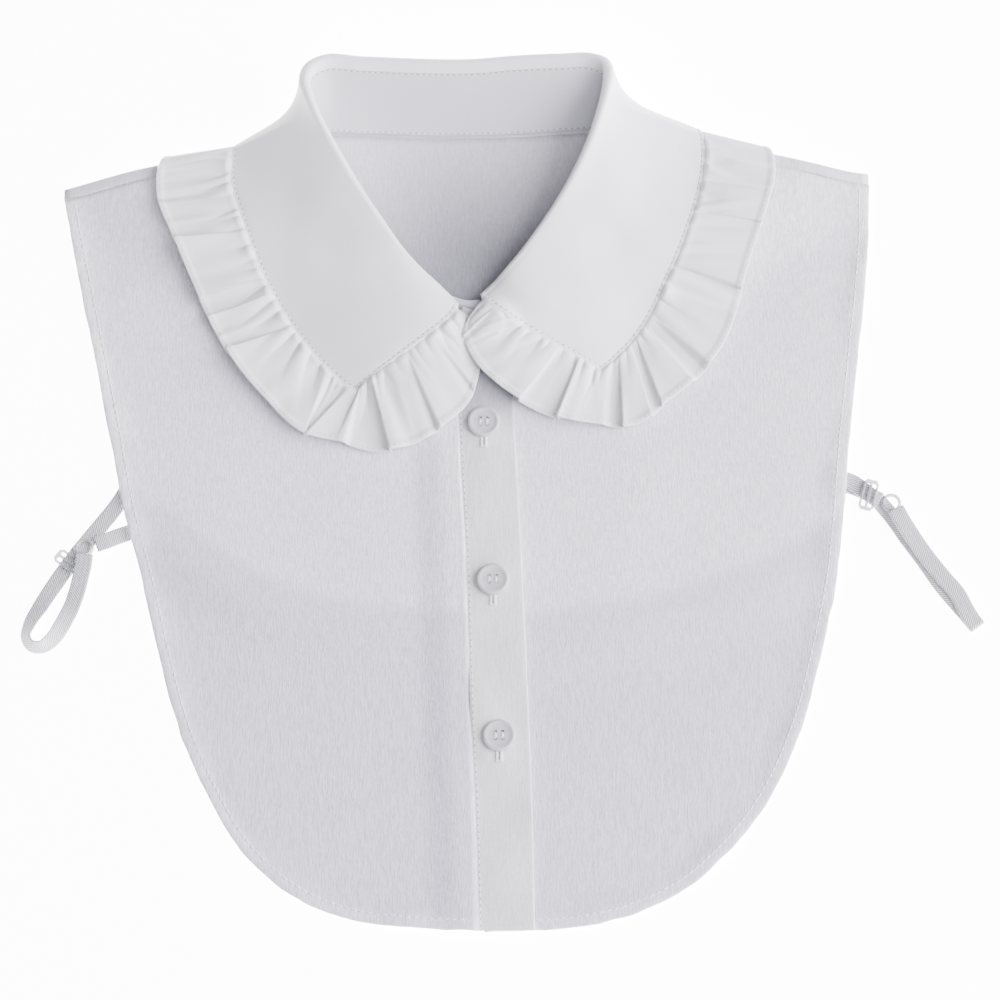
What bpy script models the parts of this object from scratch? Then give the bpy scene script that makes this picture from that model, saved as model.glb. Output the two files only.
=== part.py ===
"""False collar laid flat: a short sleeveless bodice with a rolled collar and a gathered ruffle.

The picture's left is -X, the neck is towards +Y and +Z is up from the table. The origin is
under the middle of the whole piece. Every length below is in millimetres until MM scales it.
"""
import math

import bmesh
import bpy
from mathutils import Vector

MM = 0.001
RAIL_STEPS = 8
HALVINGS = 30

# Cloth walls and seams
CLOTH = 1.0
COLLAR_CLOTH = 1.2
PLACKET_CLOTH = 1.3
SEAM = 0.3
EDGE_SEAM = 0.6
STAND_SEAM = 0.5

# Levels of the laid bodice
LAYER = CLOTH + 0.5
UNDER_COLLAR = 4.7
UNDER_MIDDLE = (-14.0, 146.0)
UNDER_HALF = (132.0, 53.0)
UNDER_FADE = 45.0
HEM_DROP_START = 14.0
HEM_DROP = 24.0
NECK_RISE = 22.0
FRONT_COLUMNS = 24
FRONT_ROWS = 13
FRONT_CROWDING = 1.35
BACK_ROWS_DOWN = 16
BACK_SIDE_END = 10.0

# Shoulder fold
FOLD_RADIUS = LAYER / 2
FLAP = 4.0
FLAP_GAP = 0.4
FOLD_STEPS = 4
SHOULDER_COLUMNS = 8
NECK_COLUMNS = 12

# Collar
SEAM_DROP = 5.5
FALL_REACH = 9.0
UNDER_REACH = 24.0
FALL_STEPS = 5
ROLL_STEPS = 4
COLUMNS_PER_ROW = 2
BACK_ROW = 16.0
BACK_ROWS = 6.0
UNDER_ROWS = 3.5
UNDER_BLEND = 3.0
LAND_SHARE = (0.35, 0.1)
LAND_RISE = 0.08
ALONG = 0.25
FOOT_RISE = 0.9
LEAF_REST = (CLOTH + COLLAR_CLOTH) / 2 + 0.4

# Ruffle
GATHER = 5.2
GATHER_HEIGHT = 0.8
STEPS_PER_GATHER = 3
RUFFLE_ACROSS = (0.0, 0.3, 0.65, 1.0)
RUFFLE_SAMPLES = 40
UNDER_WAVE = 2.0
PANEL_SAG = 0.25
PANEL_SAG_RUN = 8.0
TURN_START = 0.6
TURN_RUN = 1.2
END_START = 0.8
END_RUN = 1.5

# Buttons
BUTTON_RADIUS = 6.4
BUTTON_THICK = 2.2
BUTTON_DISH = 4.6
BUTTON_HOLE = 0.85
BUTTON_PITCH = 3.2
BUTTON_SINK = 0.7
BUTTON_BEVEL = 0.6
BUTTON_MARGIN = 1.0
PLACKET_BUTTONS = ((-6.4, 25.9), (-2.8, -39.3), (-0.4, -101.7))
COLLAR_BUTTON = (-5.1, 64.2, 7.45)
COLLAR_BUTTON_TILT = 8.0
BUTTON_COVER = 14.0

# Outline of the fronts from the shoulder to the bottom: height on the picture, left edge, right edge
FRONT_SIDES = (
    (105.0, -171.0, 147.0),
    (84.0, -166.5, 144.9),
    (50.0, -159.0, 140.7),
    (17.0, -152.0, 136.6),
    (-10.0, -146.5, 133.9),
    (-36.0, -139.3, 130.6),
    (-70.0, -131.0, 123.3),
    (-99.0, -122.5, 115.0),
    (-124.0, -111.5, 103.5),
    (-147.0, -97.5, 86.5),
    (-163.0, -80.0, 67.0),
    (-173.0, -57.0, 44.0),
    (-176.5, -32.0, 26.0),
)
HEM_BOTTOM = -177.8

# Shoulder fold: x, y of the outermost cloth
LEFT_SHOULDER = (
    (-174.3, 126.2),
    (-155.2, 130.8),
    (-135.6, 135.4),
    (-120.0, 138.6),
    (-105.0, 140.8),
    (-81.7, 143.0),
)
RIGHT_SHOULDER = (
    (52.0, 149.4),
    (68.0, 148.6),
    (81.0, 147.2),
    (104.0, 141.4),
    (127.7, 136.0),
    (140.6, 133.6),
    (147.6, 133.0),
)

# Back hem, left side to right side
BACK_HEM = (
    (-148.5, 6.0),
    (-125.0, -9.5),
    (-102.4, -26.4),
    (-70.0, -40.8),
    (-33.0, -46.5),
    (12.0, -47.3),
    (50.0, -42.0),
    (80.0, -33.8),
    (105.0, -24.0),
    (133.2, -5.5),
)

# Placket: height on the picture, stitched edge, free edge
PLACKET = (
    (51.4, -17.6, 4.6),
    (34.0, -16.8, 5.1),
    (8.0, -15.6, 6.5),
    (-20.0, -13.9, 8.0),
    (-52.0, -12.7, 9.3),
    (-92.0, -11.5, 11.0),
    (-130.0, -9.6, 12.3),
    (-177.6, -8.2, 13.1),
)
UNDERLAP = 2.2
PLACKET_RISE = 0.5
LAP_FADE = 8.0
LAP_START = 6.0
LAP_RUN = 14.0

# Necklines of the fronts, with the cloth's rise towards the collar, and of the back
RIGHT_FRONT_NECK = (
    (-17.9, 51.9, 0.0),
    (-25.8, 54.0, 0.0),
    (-32.5, 57.1, 0.0),
    (-42.1, 63.8, 0.0),
    (-53.2, 75.3, 0.0),
    (-62.3, 87.8, 0.2),
    (-70.7, 100.1, 0.7),
    (-77.9, 113.2, 1.4),
    (-81.5, 127.0, 1.6),
    (-82.0, 135.0, 0.6),
    (-82.0, 138.0, 0.0),
)
LEFT_FRONT_NECK = (
    (-15.4, 52.2, 0.0),
    (-1.0, 52.6, 0.0),
    (8.4, 56.0, 0.0),
    (16.2, 62.6, 0.0),
    (25.3, 75.8, 0.0),
    (33.4, 86.9, 0.0),
    (40.4, 98.2, 0.4),
    (46.0, 109.0, 0.9),
    (49.7, 119.5, 1.4),
    (51.6, 129.4, 1.6),
    (52.2, 138.5, 0.9),
    (52.2, 144.4, 0.0),
)
BACK_NECK = (
    (-76.0, 145.9),
    (-71.0, 147.9),
    (-55.0, 148.2),
    (-30.0, 147.4),
    (-12.0, 147.4),
    (6.8, 148.0),
    (24.0, 149.3),
    (40.5, 149.8),
    (46.5, 149.5),
)

# Collar sections, from the right front's end round the back of the neck to the left front's end:
# foot on the neckline, top fold, outer edge of the leaf, outer edge of the ruffle, radius of the roll
COLLAR = (
    ((-19.0, 53.2, 4.9), (-16.6, 74.2, 8.5), (-56.5, 39.0, 3.5), (-46.0, 13.3, 3.6), 1.6),
    ((-25.5, 55.0, 4.9), (-20.5, 78.0, 9.8), (-60.5, 40.6, 3.5), (-63.3, 17.2, 3.6), 1.6),
    ((-32.0, 58.0, 5.0), (-24.8, 81.9, 11.4), (-66.1, 45.8, 3.4), (-77.0, 20.6, 3.6), 1.6),
    ((-41.5, 64.6, 5.4), (-31.5, 87.6, 13.8), (-76.5, 57.6, 3.4), (-92.0, 34.8, 3.6), 1.6),
    ((-52.5, 76.0, 6.0), (-38.7, 95.2, 16.5), (-84.2, 68.7, 3.5), (-103.5, 48.8, 3.6), 1.6),
    ((-61.5, 88.4, 7.0), (-46.0, 105.2, 19.2), (-92.0, 82.3, 4.6), (-113.5, 65.5, 3.8), 1.6),
    ((-69.8, 100.5, 7.9), (-53.5, 116.0, 21.7), (-98.4, 97.1, 7.3), (-122.0, 84.5, 4.8), 1.6),
    ((-76.8, 113.5, 8.9), (-61.0, 128.0, 24.5), (-103.9, 113.3, 8.0), (-130.5, 104.5, 7.4), 1.6),
    ((-80.4, 127.0, 9.2), (-68.1, 140.5, 26.5), (-107.8, 127.0, 8.0), (-136.5, 119.5, 8.2), 1.6),
    ((-80.7, 134.5, 8.4), (-72.0, 148.0, 27.0), (-107.7, 135.5, 8.2), (-137.0, 129.0, 8.2), 1.7),
    ((-80.6, 139.5, 7.9), (-75.6, 157.0, 26.6), (-107.0, 141.2, 8.1), (-136.2, 134.8, 8.1), 1.8),
    ((-80.2, 143.6, 7.3), (-77.8, 165.5, 25.5), (-105.4, 144.0, 5.4), (-134.2, 139.2, 5.4), 2.0),
    ((-77.8, 146.8, 6.7), (-76.5, 171.8, 23.8), (-102.8, 141.4, 2.6), (-130.0, 134.8, 2.4), 2.0),
    ((-72.0, 149.1, 6.2), (-71.5, 175.9, 22.1), (-97.0, 135.5, 1.0), (-119.0, 121.0, 0.5), 2.0),
    ((-55.0, 149.2, 6.0), (-54.5, 176.3, 20.5), (-72.0, 128.5, 0.6), (-84.0, 103.0, 0.5), 2.0),
    ((-30.0, 148.4, 5.9), (-30.0, 175.6, 19.7), (-40.0, 126.0, 0.6), (-44.0, 98.5, 0.5), 2.0),
    ((-12.0, 148.4, 5.9), (-12.0, 175.6, 19.5), (-13.0, 125.5, 0.6), (-13.0, 97.5, 0.5), 2.0),
    ((6.8, 149.0, 5.9), (6.8, 177.0, 20.0), (15.0, 127.0, 0.6), (18.0, 99.0, 0.5), 2.0),
    ((24.0, 150.3, 6.0), (24.0, 177.6, 20.5), (50.0, 133.0, 0.6), (60.0, 105.5, 0.5), 2.0),
    ((40.5, 150.8, 6.2), (37.5, 176.9, 21.9), (70.0, 142.0, 1.0), (92.0, 122.5, 0.5), 2.0),
    ((47.4, 150.2, 6.7), (41.3, 174.5, 23.5), (77.0, 147.9, 2.6), (103.6, 138.0, 2.4), 2.0),
    ((50.3, 148.2, 7.4), (42.8, 169.0, 25.2), (80.0, 150.8, 5.4), (107.4, 143.4, 5.4), 2.0),
    ((50.8, 145.0, 8.0), (42.0, 161.5, 26.5), (81.4, 147.6, 8.1), (109.2, 139.6, 8.1), 1.8),
    ((50.9, 140.5, 8.4), (40.2, 153.5, 26.9), (82.2, 142.0, 8.2), (110.0, 134.0, 8.2), 1.7),
    ((50.8, 135.0, 8.8), (38.2, 146.8, 26.7), (81.6, 131.0, 8.1), (109.2, 126.0, 8.2), 1.6),
    ((50.4, 129.5, 9.1), (36.1, 140.7, 26.0), (79.0, 118.5, 8.0), (106.8, 117.0, 8.2), 1.6),
    ((48.6, 119.8, 8.8), (32.5, 132.4, 24.3), (74.7, 105.0, 8.0), (103.5, 106.5, 7.4), 1.6),
    ((45.0, 109.5, 8.0), (27.5, 122.4, 22.2), (70.8, 94.5, 7.3), (99.5, 94.5, 5.8), 1.6),
    ((39.5, 98.8, 7.0), (21.7, 112.6, 20.0), (65.8, 83.5, 4.9), (96.0, 82.0, 4.2), 1.6),
    ((32.5, 87.5, 5.8), (15.0, 102.6, 18.0), (61.0, 73.0, 3.7), (92.5, 68.8, 3.6), 1.6),
    ((24.5, 76.5, 4.7), (8.5, 94.0, 16.0), (55.3, 63.2, 3.4), (87.0, 56.3, 3.6), 1.7),
    ((15.5, 63.5, 3.8), (2.5, 87.2, 13.8), (47.0, 53.5, 3.4), (78.0, 44.5, 3.6), 1.8),
    ((8.0, 57.0, 3.4), (-2.4, 82.6, 10.2), (43.0, 49.6, 3.5), (66.0, 34.0, 3.6), 2.2),
    ((-1.0, 53.6, 3.3), (-7.5, 78.2, 8.5), (39.5, 47.3, 3.5), (52.5, 23.8, 3.6), 2.4),
)

# Ends of the stand beyond the leaf: foot and top
OUTER_TAB = (
    ((6.8, 54.2, 5.1), (6.3, 60.5, 6.1)),
    ((3.5, 53.2, 5.0), (1.5, 66.8, 7.0)),
    ((-5.0, 52.9, 4.9), (-6.5, 70.0, 7.3)),
)
UNDER_TAB = (
    ((-8.5, 53.3, 3.3), (-13.0, 76.6, 5.3)),
    ((-15.4, 53.6, 3.3), (-20.3, 78.2, 5.2)),
)

# Ruffle along the leaf's front edges, from the roll to the corner: share of the edge, outer edge
RIGHT_FRONT_RUFFLE = (
    (0.02, (-8.2, 53.6, 6.6)),
    (0.2, (-8.4, 44.6, 5.6)),
    (0.4, (-11.5, 34.6, 5.2)),
    (0.6, (-21.0, 24.3, 5.0)),
    (0.8, (-32.5, 16.8, 4.2)),
)
LEFT_FRONT_RUFFLE = (
    (0.02, (-12.6, 70.5, 11.2)),
    (0.1, (-14.6, 62.5, 10.9)),
    (0.2, (-10.5, 51.0, 9.6)),
    (0.4, (3.5, 36.6, 5.6)),
    (0.6, (21.0, 27.4, 4.4)),
    (0.8, (38.0, 24.6, 3.8)),
)

# Pressed folds of the ruffle: each is a panel raised between two fold lines. A line gives its
# section at the seam, its section at the outer edge and the width of the fall beside it. The
# last number is the panel's height at the outer edge.
PANELS = (
    ((2.0, 2.1, 4.0), (2.7, 3.2, 3.0), 1.8),
    ((3.1, 3.6, 6.0), (4.38, 4.68, 3.0), 2.4),
    ((4.9, 5.9, 3.5), (5.5, 6.8, 3.0), 2.6),
    ((7.22, 7.04, 3.0), (8.74, 9.34, 3.0), 3.6),
    ((9.3, 9.75, 3.0), (9.75, 10.15, 3.0), 1.6),
    ((10.12, 10.68, 3.0), (11.46, 11.8, 3.0), 3.4),
    ((12.0, 12.3, 3.0), (12.5, 12.8, 4.0), 1.8),
    ((13.0, 13.2, 3.0), (14.2, 14.3, 5.0), 2.0),
    ((28.3, 28.4, 4.0), (29.1, 29.2, 3.0), 1.8),
    ((29.5, 29.6, 3.0), (30.32, 30.58, 3.0), 2.8),
    ((30.8, 31.1, 5.0), (32.3, 32.92, 3.0), 3.6),
    ((33.2, 33.9, 4.0), (34.2, 35.5, 4.0), 2.4),
    ((34.7, 36.2, 3.0), (35.2, 37.1, 3.0), 2.8),
    ((35.5, 37.6, 3.0), (35.95, 38.2, 3.0), 2.4),
    ((37.2, 38.9, 4.0), (38.74, 39.84, 3.0), 3.6),
    ((39.52, 40.82, 3.0), (41.2, 42.2, 6.0), 3.4),
)

# Side tapes: middle line from the garment outwards, height of the tape's lower side and its tilt
TAPE_WIDTH = 6.5
TAPE_THICK = 1.0
COLUMNS_PER_TAPE_ROW = 2
STRAP_BACK_LEFT = (
    (-143.7, 2.4, 0.0, 0),
    (-148.5, -6.4, 0.0, 0),
    (-154.1, -14.3, 0.0, 0),
    (-160.0, -22.1, 0.0, 0),
    (-166.0, -30.4, 0.0, 0),
    (-171.8, -39.4, 0.0, 0),
    (-177.4, -49.2, 0.0, 12),
    (-181.4, -57.3, 0.0, 35),
    (-182.3, -62.4, 0.0, 55),
    (-180.2, -65.8, 0.0, 62),
    (-176.3, -66.3, 0.0, 60),
    (-172.4, -63.2, 0.0, 42),
    (-168.6, -56.5, 0.0, 18),
    (-165.4, -49.0, 0.2, 0),
    (-163.2, -42.2, 1.4, 0),
    (-162.0, -37.5, 2.8, 0),
    (-161.2, -33.5, 3.0, 0),
    (-160.8, -28.6, 3.0, 0),
)
STRAP_FRONT_LEFT = (
    (-145.0, -19.2, 0.0, 0),
    (-148.6, -20.5, 0.4, 0),
    (-152.4, -22.4, 1.2, 0),
    (-156.9, -24.2, 1.5, 0),
)
STRAP_BACK_RIGHT = (
    (135.3, 0.6, 0.0, 0),
    (137.6, 0.2, 0.0, 0),
    (141.4, -1.4, 0.0, 0),
    (144.5, -3.2, 0.0, 0),
    (147.6, -5.8, 0.0, 0),
    (150.7, -9.6, 0.0, 0),
    (154.3, -14.8, 0.0, 0),
    (158.1, -20.9, 0.0, 0),
    (162.4, -27.2, 0.0, 0),
    (166.3, -33.2, 0.0, 0),
    (170.3, -39.5, 0.0, 0),
    (175.6, -46.6, 0.0, 0),
    (180.2, -52.4, 0.0, 0),
    (183.0, -56.1, 0.0, 0),
    (183.6, -56.9, 0.0, 0),
    (183.88, -57.27, 0.19, 0),
    (183.99, -57.42, 0.65, 0),
    (183.88, -57.27, 1.11, 0),
    (183.6, -56.9, 1.3, 0),
    (183.0, -56.1, 1.3, 0),
    (180.2, -51.4, 1.3, 0),
    (176.5, -43.8, 1.3, 0),
    (172.1, -38.2, 1.3, 0),
    (167.8, -32.4, 1.3, 0),
    (163.3, -25.9, 1.5, 0),
    (159.2, -19.4, 2.2, 0),
    (156.0, -14.0, 2.9, 0),
    (153.9, -9.8, 3.0, 0),
)
STRAP_FRONT_RIGHT = (
    (135.5, 1.9, 1.5, 0),
    (137.6, 1.5, 1.5, 0),
    (140.4, -0.5, 1.5, 0),
    (144.0, -3.5, 1.5, 0),
    (148.0, -6.0, 1.5, 0),
)

# Clear adjusters lying on the tapes: centre and lowest point; a slider's direction in degrees
RING_RADIUS = 3.9
RING_HOLE = 2.5
RING_THICK = 1.4
RING_LEFT = (-161.3, -25.5, 1.3)
RING_RIGHT = (152.4, -6.9, 1.3)
SLIDER_LONG = 12.8
SLIDER_WIDE = 6.0
SLIDER_THICK = 1.3
SLOT_LONG = 10.0
SLOT_WIDE = 1.4
SLOT_BAR = 1.2
SLIDER_CORNER = 0.9
RING_BEVEL = 0.4
SLIDER_LEFT = ((-166.6, -31.6, 1.3), -36.0)
SLIDER_RIGHT = ((143.5, -4.2, 2.8), 75.0)

WHITE = (0.86, 0.86, 0.88)
CLEAR = (0.9, 0.92, 0.93)


def fade(t):
    """1 at t <= 0, falling smoothly to 0 at t >= 1."""
    t = min(max(t, 0.0), 1.0)
    return 1.0 - t * t * (3.0 - 2.0 * t)


def lengths(points):
    """Length along a line up to each of its points."""
    runs = [0.0]
    for a, b in zip(points, points[1:]):
        runs.append(runs[-1] + (b - a).length)
    return runs


def between(marks, values, mark):
    """Value at a mark, on straight lines between rising marks."""
    i = 0
    while i < len(marks) - 2 and marks[i + 1] < mark:
        i += 1
    share = (mark - marks[i]) / (marks[i + 1] - marks[i])
    return values[i] + (values[i + 1] - values[i]) * min(max(share, 0.0), 1.0)


class Rail:
    """A smooth curve through the rows of a table."""

    def __init__(self, points):
        self.points = [Vector((p[0], p[1], p[2] if len(p) > 2 else 0.0)) for p in points]
        last = len(self.points) - 1
        self.chords = [(self.points[i + 1] - self.points[i]).length for i in range(last)]
        self.slopes = []
        for i in range(last + 1):
            before = (self.points[i] - self.points[i - 1]) / self.chords[i - 1] if i else None
            after = (self.points[i + 1] - self.points[i]) / self.chords[i] if i < last else None
            if before is None or after is None:
                self.slopes.append(after or before)
            else:
                near, far = self.chords[i - 1], self.chords[i]
                self.slopes.append((before * far + after * near) / (near + far))
        samples = [self.at_row(k / RAIL_STEPS) for k in range(last * RAIL_STEPS + 1)]
        self.runs = lengths(samples)

    def at_row(self, row):
        """Point at a fractional row of the table."""
        i = min(max(int(row), 0), len(self.points) - 2)
        t = row - i
        chord = self.chords[i]
        a, b = self.points[i], self.points[i + 1]
        return (
            a * (2 * t**3 - 3 * t**2 + 1)
            + self.slopes[i] * chord * (t**3 - 2 * t**2 + t)
            + b * (3 * t**2 - 2 * t**3)
            + self.slopes[i + 1] * chord * (t**3 - t**2)
        )

    def at(self, share):
        """Point at a share of the whole length."""
        goal = share * self.runs[-1]
        k = 0
        while k < len(self.runs) - 2 and self.runs[k + 1] < goal:
            k += 1
        span = self.runs[k + 1] - self.runs[k]
        return self.at_row((k + (goal - self.runs[k]) / span) / RAIL_STEPS)

    def at_height(self, y):
        """Where a curve that runs steadily up or down the picture passes height y."""
        low, high = 0.0, len(self.points) - 1.0
        falling = self.points[-1].y < self.points[0].y
        for _ in range(HALVINGS):
            middle = (low + high) / 2
            if (self.at_row(middle).y > y) == falling:
                low = middle
            else:
                high = middle
        return self.at_row(low)


PLACKET_STITCHED = Rail([(left, y) for y, left, right in PLACKET])
PLACKET_FREE = Rail([(right, y) for y, left, right in PLACKET])
BACK_HEM_LINE = Rail(BACK_HEM)


def hem_height(x):
    """y of the back hem at x."""
    low, high = 0.0, len(BACK_HEM) - 1.0
    for _ in range(HALVINGS):
        middle = (low + high) / 2
        if BACK_HEM_LINE.at_row(middle).x < x:
            low = middle
        else:
            high = middle
    return BACK_HEM_LINE.at_row(low).y


def lift(x, y):
    """How far the collar lying underneath raises the bodice."""
    across = (x - UNDER_MIDDLE[0]) / UNDER_HALF[0]
    along = (y - UNDER_MIDDLE[1]) / UNDER_HALF[1]
    spread = max(math.hypot(across, along), 0.01)
    reach = math.hypot(x - UNDER_MIDDLE[0], y - UNDER_MIDDLE[1])
    return UNDER_COLLAR * fade(reach * (1.0 - 1.0 / spread) / UNDER_FADE)


def back_level(x, y):
    """Middle of the back panel's wall."""
    return CLOTH / 2 + lift(x, y)


def front_level(x, y):
    """Middle of a front's wall: on the back panel, and on the table below the back hem."""
    on_back = fade((hem_height(x) - HEM_DROP_START - y) / HEM_DROP)
    return back_level(x, y) + LAYER * on_back


def over_button(x, y):
    """Middle of cloth that lies on the stand's button."""
    away = math.hypot(x - COLLAR_BUTTON[0], y - COLLAR_BUTTON[1])
    slope = math.tan(math.radians(COLLAR_BUTTON_TILT))
    top = COLLAR_BUTTON[2] + BUTTON_THICK + slope * (y - COLLAR_BUTTON[1]) + SEAM + COLLAR_CLOTH / 2
    return top * fade((away - BUTTON_RADIUS - BUTTON_MARGIN) / BUTTON_COVER)


def outer_level(x, y):
    """Middle of the uppermost front, which is raised at the placket's lap."""
    height = min(max(y, HEM_BOTTOM), PLACKET[0][0])
    stitched = PLACKET_STITCHED.at_height(height).x
    free = PLACKET_FREE.at_height(height).x
    step = LAYER + (PLACKET_CLOTH - CLOTH) / 2
    on_lap = fade((stitched - LAP_START - x) / LAP_RUN) * fade((x - free) / LAP_FADE)
    return front_level(x, y) + step * on_lap


def material(name, color, roughness, alpha=1.0):
    """A plain finish."""
    finish = bpy.data.materials.new(name)
    finish.use_nodes = True
    shader = finish.node_tree.nodes["Principled BSDF"]
    shader.inputs["Base Color"].default_value = (*color, 1.0)
    shader.inputs["Roughness"].default_value = roughness
    shader.inputs["Metallic"].default_value = 0.0
    shader.inputs["Alpha"].default_value = alpha
    return finish


def new_object(name, bm, finish):
    """Puts a mesh that was made in millimetres into the collar's collection."""
    bmesh.ops.scale(bm, vec=(MM, MM, MM), verts=bm.verts)
    mesh = bpy.data.meshes.new(name)
    bm.to_mesh(mesh)
    bm.free()
    thing = bpy.data.objects.new(name, mesh)
    mesh.materials.append(finish)
    bpy.data.collections["false_collar"].objects.link(thing)
    return thing


def sheet(columns, rows, place):
    """An open grid whose points are moved to place(column, row)."""
    bm = bmesh.new()
    bmesh.ops.create_grid(bm, x_segments=columns, y_segments=rows, size=0.5)
    for v in bm.verts:
        column = round((v.co.x + 0.5) * columns)
        row = round((v.co.y + 0.5) * rows)
        v.co = place(column, row)
    return bm


def thicken(thing, thickness):
    """Gives an open sheet its wall, half to each side."""
    wall = thing.modifiers.new("wall", "SOLIDIFY")
    wall.thickness = thickness * MM
    wall.offset = 0.0
    wall.use_even_offset = True
    wall.thickness_clamp = 0.0
    return thing


def patch(neck, outer, centre, shoulder, u, v):
    """Point of a surface stretched between four edges; neck and outer run with u."""
    across = neck(u).lerp(outer(u), v)
    down = centre(v).lerp(shoulder(v), u)
    corners = neck(0).lerp(neck(1), u).lerp(outer(0).lerp(outer(1), u), v)
    return across + down - corners


def shoulder_seam(table, share):
    """Where the front starts, in front of the shoulder fold."""
    p = Rail(table).at(share)
    p.y -= FOLD_RADIUS + FLAP + FLAP_GAP
    return p


def front_panel(name, sign, finish):
    """One front: sign -1 is the right front, on the picture's left, and 1 the left front."""
    seam_points = 7
    shares = [s / (seam_points - 1) for s in range(seam_points)]
    if sign < 0:
        neckline = Rail(RIGHT_FRONT_NECK)
        sides = [(left, y) for y, left, right in FRONT_SIDES]
        shoulder_rows = [shoulder_seam(LEFT_SHOULDER, 1 - share) for share in shares]
        level = outer_level
        edge = [(p[1] - SEAM, p[0]) for p in PLACKET]
    else:
        neckline = Rail(LEFT_FRONT_NECK)
        sides = [(right, y) for y, left, right in FRONT_SIDES]
        shoulder_rows = [shoulder_seam(RIGHT_SHOULDER, share) for share in shares]
        level = front_level
        edge = [(p[1] + UNDERLAP, p[0]) for p in PLACKET]
    edge[0] = (neckline.points[0].x, neckline.points[0].y)
    edge[-1] = (edge[-1][0], HEM_BOTTOM)
    centre = Rail(edge)
    shoulder = Rail([p.xy for p in shoulder_rows])
    tip = shoulder.points[-1]
    neck_flat = Rail([(p.x, p.y) for p in neckline.points])
    outer = Rail([edge[-1]] + [(x, y) for x, y in reversed(sides)] + [(tip.x, tip.y)])

    def place(column, row):
        u = column / FRONT_COLUMNS
        v = (row / FRONT_ROWS) ** FRONT_CROWDING
        p = patch(neck_flat.at, outer.at, centre.at, shoulder.at, u, v)
        root = neck_flat.at(u)
        z = level(p.x, p.y)
        p.z = z + neckline.at(u).z * max(0.0, 1.0 - (p - root).xy.length / NECK_RISE) ** 2
        return p

    return thicken(new_object(name, sheet(FRONT_COLUMNS, FRONT_ROWS, place), finish), CLOTH)


def back_panel(finish):
    """The back, turned over the shoulders to the shoulder seams."""
    left = Rail([(x, y - FOLD_RADIUS, 0) for x, y in LEFT_SHOULDER])
    right = Rail([(x, y - FOLD_RADIUS, 0) for x, y in RIGHT_SHOULDER])
    neck = Rail([left.points[-1].xy, *BACK_NECK, right.points[0].xy])
    top = [left.at(i / SHOULDER_COLUMNS) for i in range(SHOULDER_COLUMNS)]
    top += [neck.at(i / NECK_COLUMNS) for i in range(NECK_COLUMNS)]
    top += [right.at(i / SHOULDER_COLUMNS) for i in range(SHOULDER_COLUMNS + 1)]
    columns, rows = len(top) - 1, BACK_ROWS_DOWN
    sides_left = [(x, y) for y, x, _ in FRONT_SIDES if y > BACK_SIDE_END]
    sides_right = [(x, y) for y, _, x in FRONT_SIDES if y > BACK_SIDE_END]
    hem_left, hem_right = BACK_HEM[0], BACK_HEM[-1]
    left_side = Rail([hem_left, *reversed(sides_left), (top[0].x, top[0].y)])
    right_side = Rail([hem_right, *reversed(sides_right), (top[-1].x, top[-1].y)])

    def top_at(u):
        return top[round(u * columns)]

    def place(column, row):
        p = patch(BACK_HEM_LINE.at, top_at, left_side.at, right_side.at, column / columns, row / rows)
        p.z = back_level(p.x, p.y)
        return p

    bm = sheet(columns, rows, place)
    verts = list(bm.verts)
    turns = [Vector((0, -FLAP, 0))]
    for k in range(FOLD_STEPS, 0, -1):
        before, now = math.pi * (k - 1) / FOLD_STEPS, math.pi * k / FOLD_STEPS
        step = Vector((0, math.sin(now) - math.sin(before), math.cos(before) - math.cos(now)))
        turns.append(step * FOLD_RADIUS)
    first = rows * (columns + 1)
    last = first + columns
    for start, end in ((first, first + SHOULDER_COLUMNS), (last - SHOULDER_COLUMNS, last)):
        line = verts[start : end + 1]
        for turn in reversed(turns):
            raised = [bm.verts.new(v.co + turn) for v in line]
            for i in range(SHOULDER_COLUMNS):
                bm.faces.new((line[i], line[i + 1], raised[i + 1], raised[i]))
            line = raised
    bmesh.ops.recalc_face_normals(bm, faces=bm.faces)
    return thicken(new_object("back_panel", bm, finish), CLOTH)


def placket(finish):
    """The folded strip on the right front's edge, over the left front."""
    columns, rows = 3, 18

    def place(column, row):
        y = PLACKET[0][0] + (PLACKET[-1][0] - PLACKET[0][0]) * row / rows
        left, right = PLACKET_STITCHED.at_height(y), PLACKET_FREE.at_height(y)
        p = left.lerp(right, column / columns)
        p.y = y
        p.z = front_level(p.x, y) + (CLOTH + PLACKET_CLOTH) / 2 + SEAM
        p.z += PLACKET_RISE * fade((PLACKET[0][0] - y) / NECK_RISE)
        return p

    return thicken(new_object("placket", sheet(columns, rows, place), finish), PLACKET_CLOTH)


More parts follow.
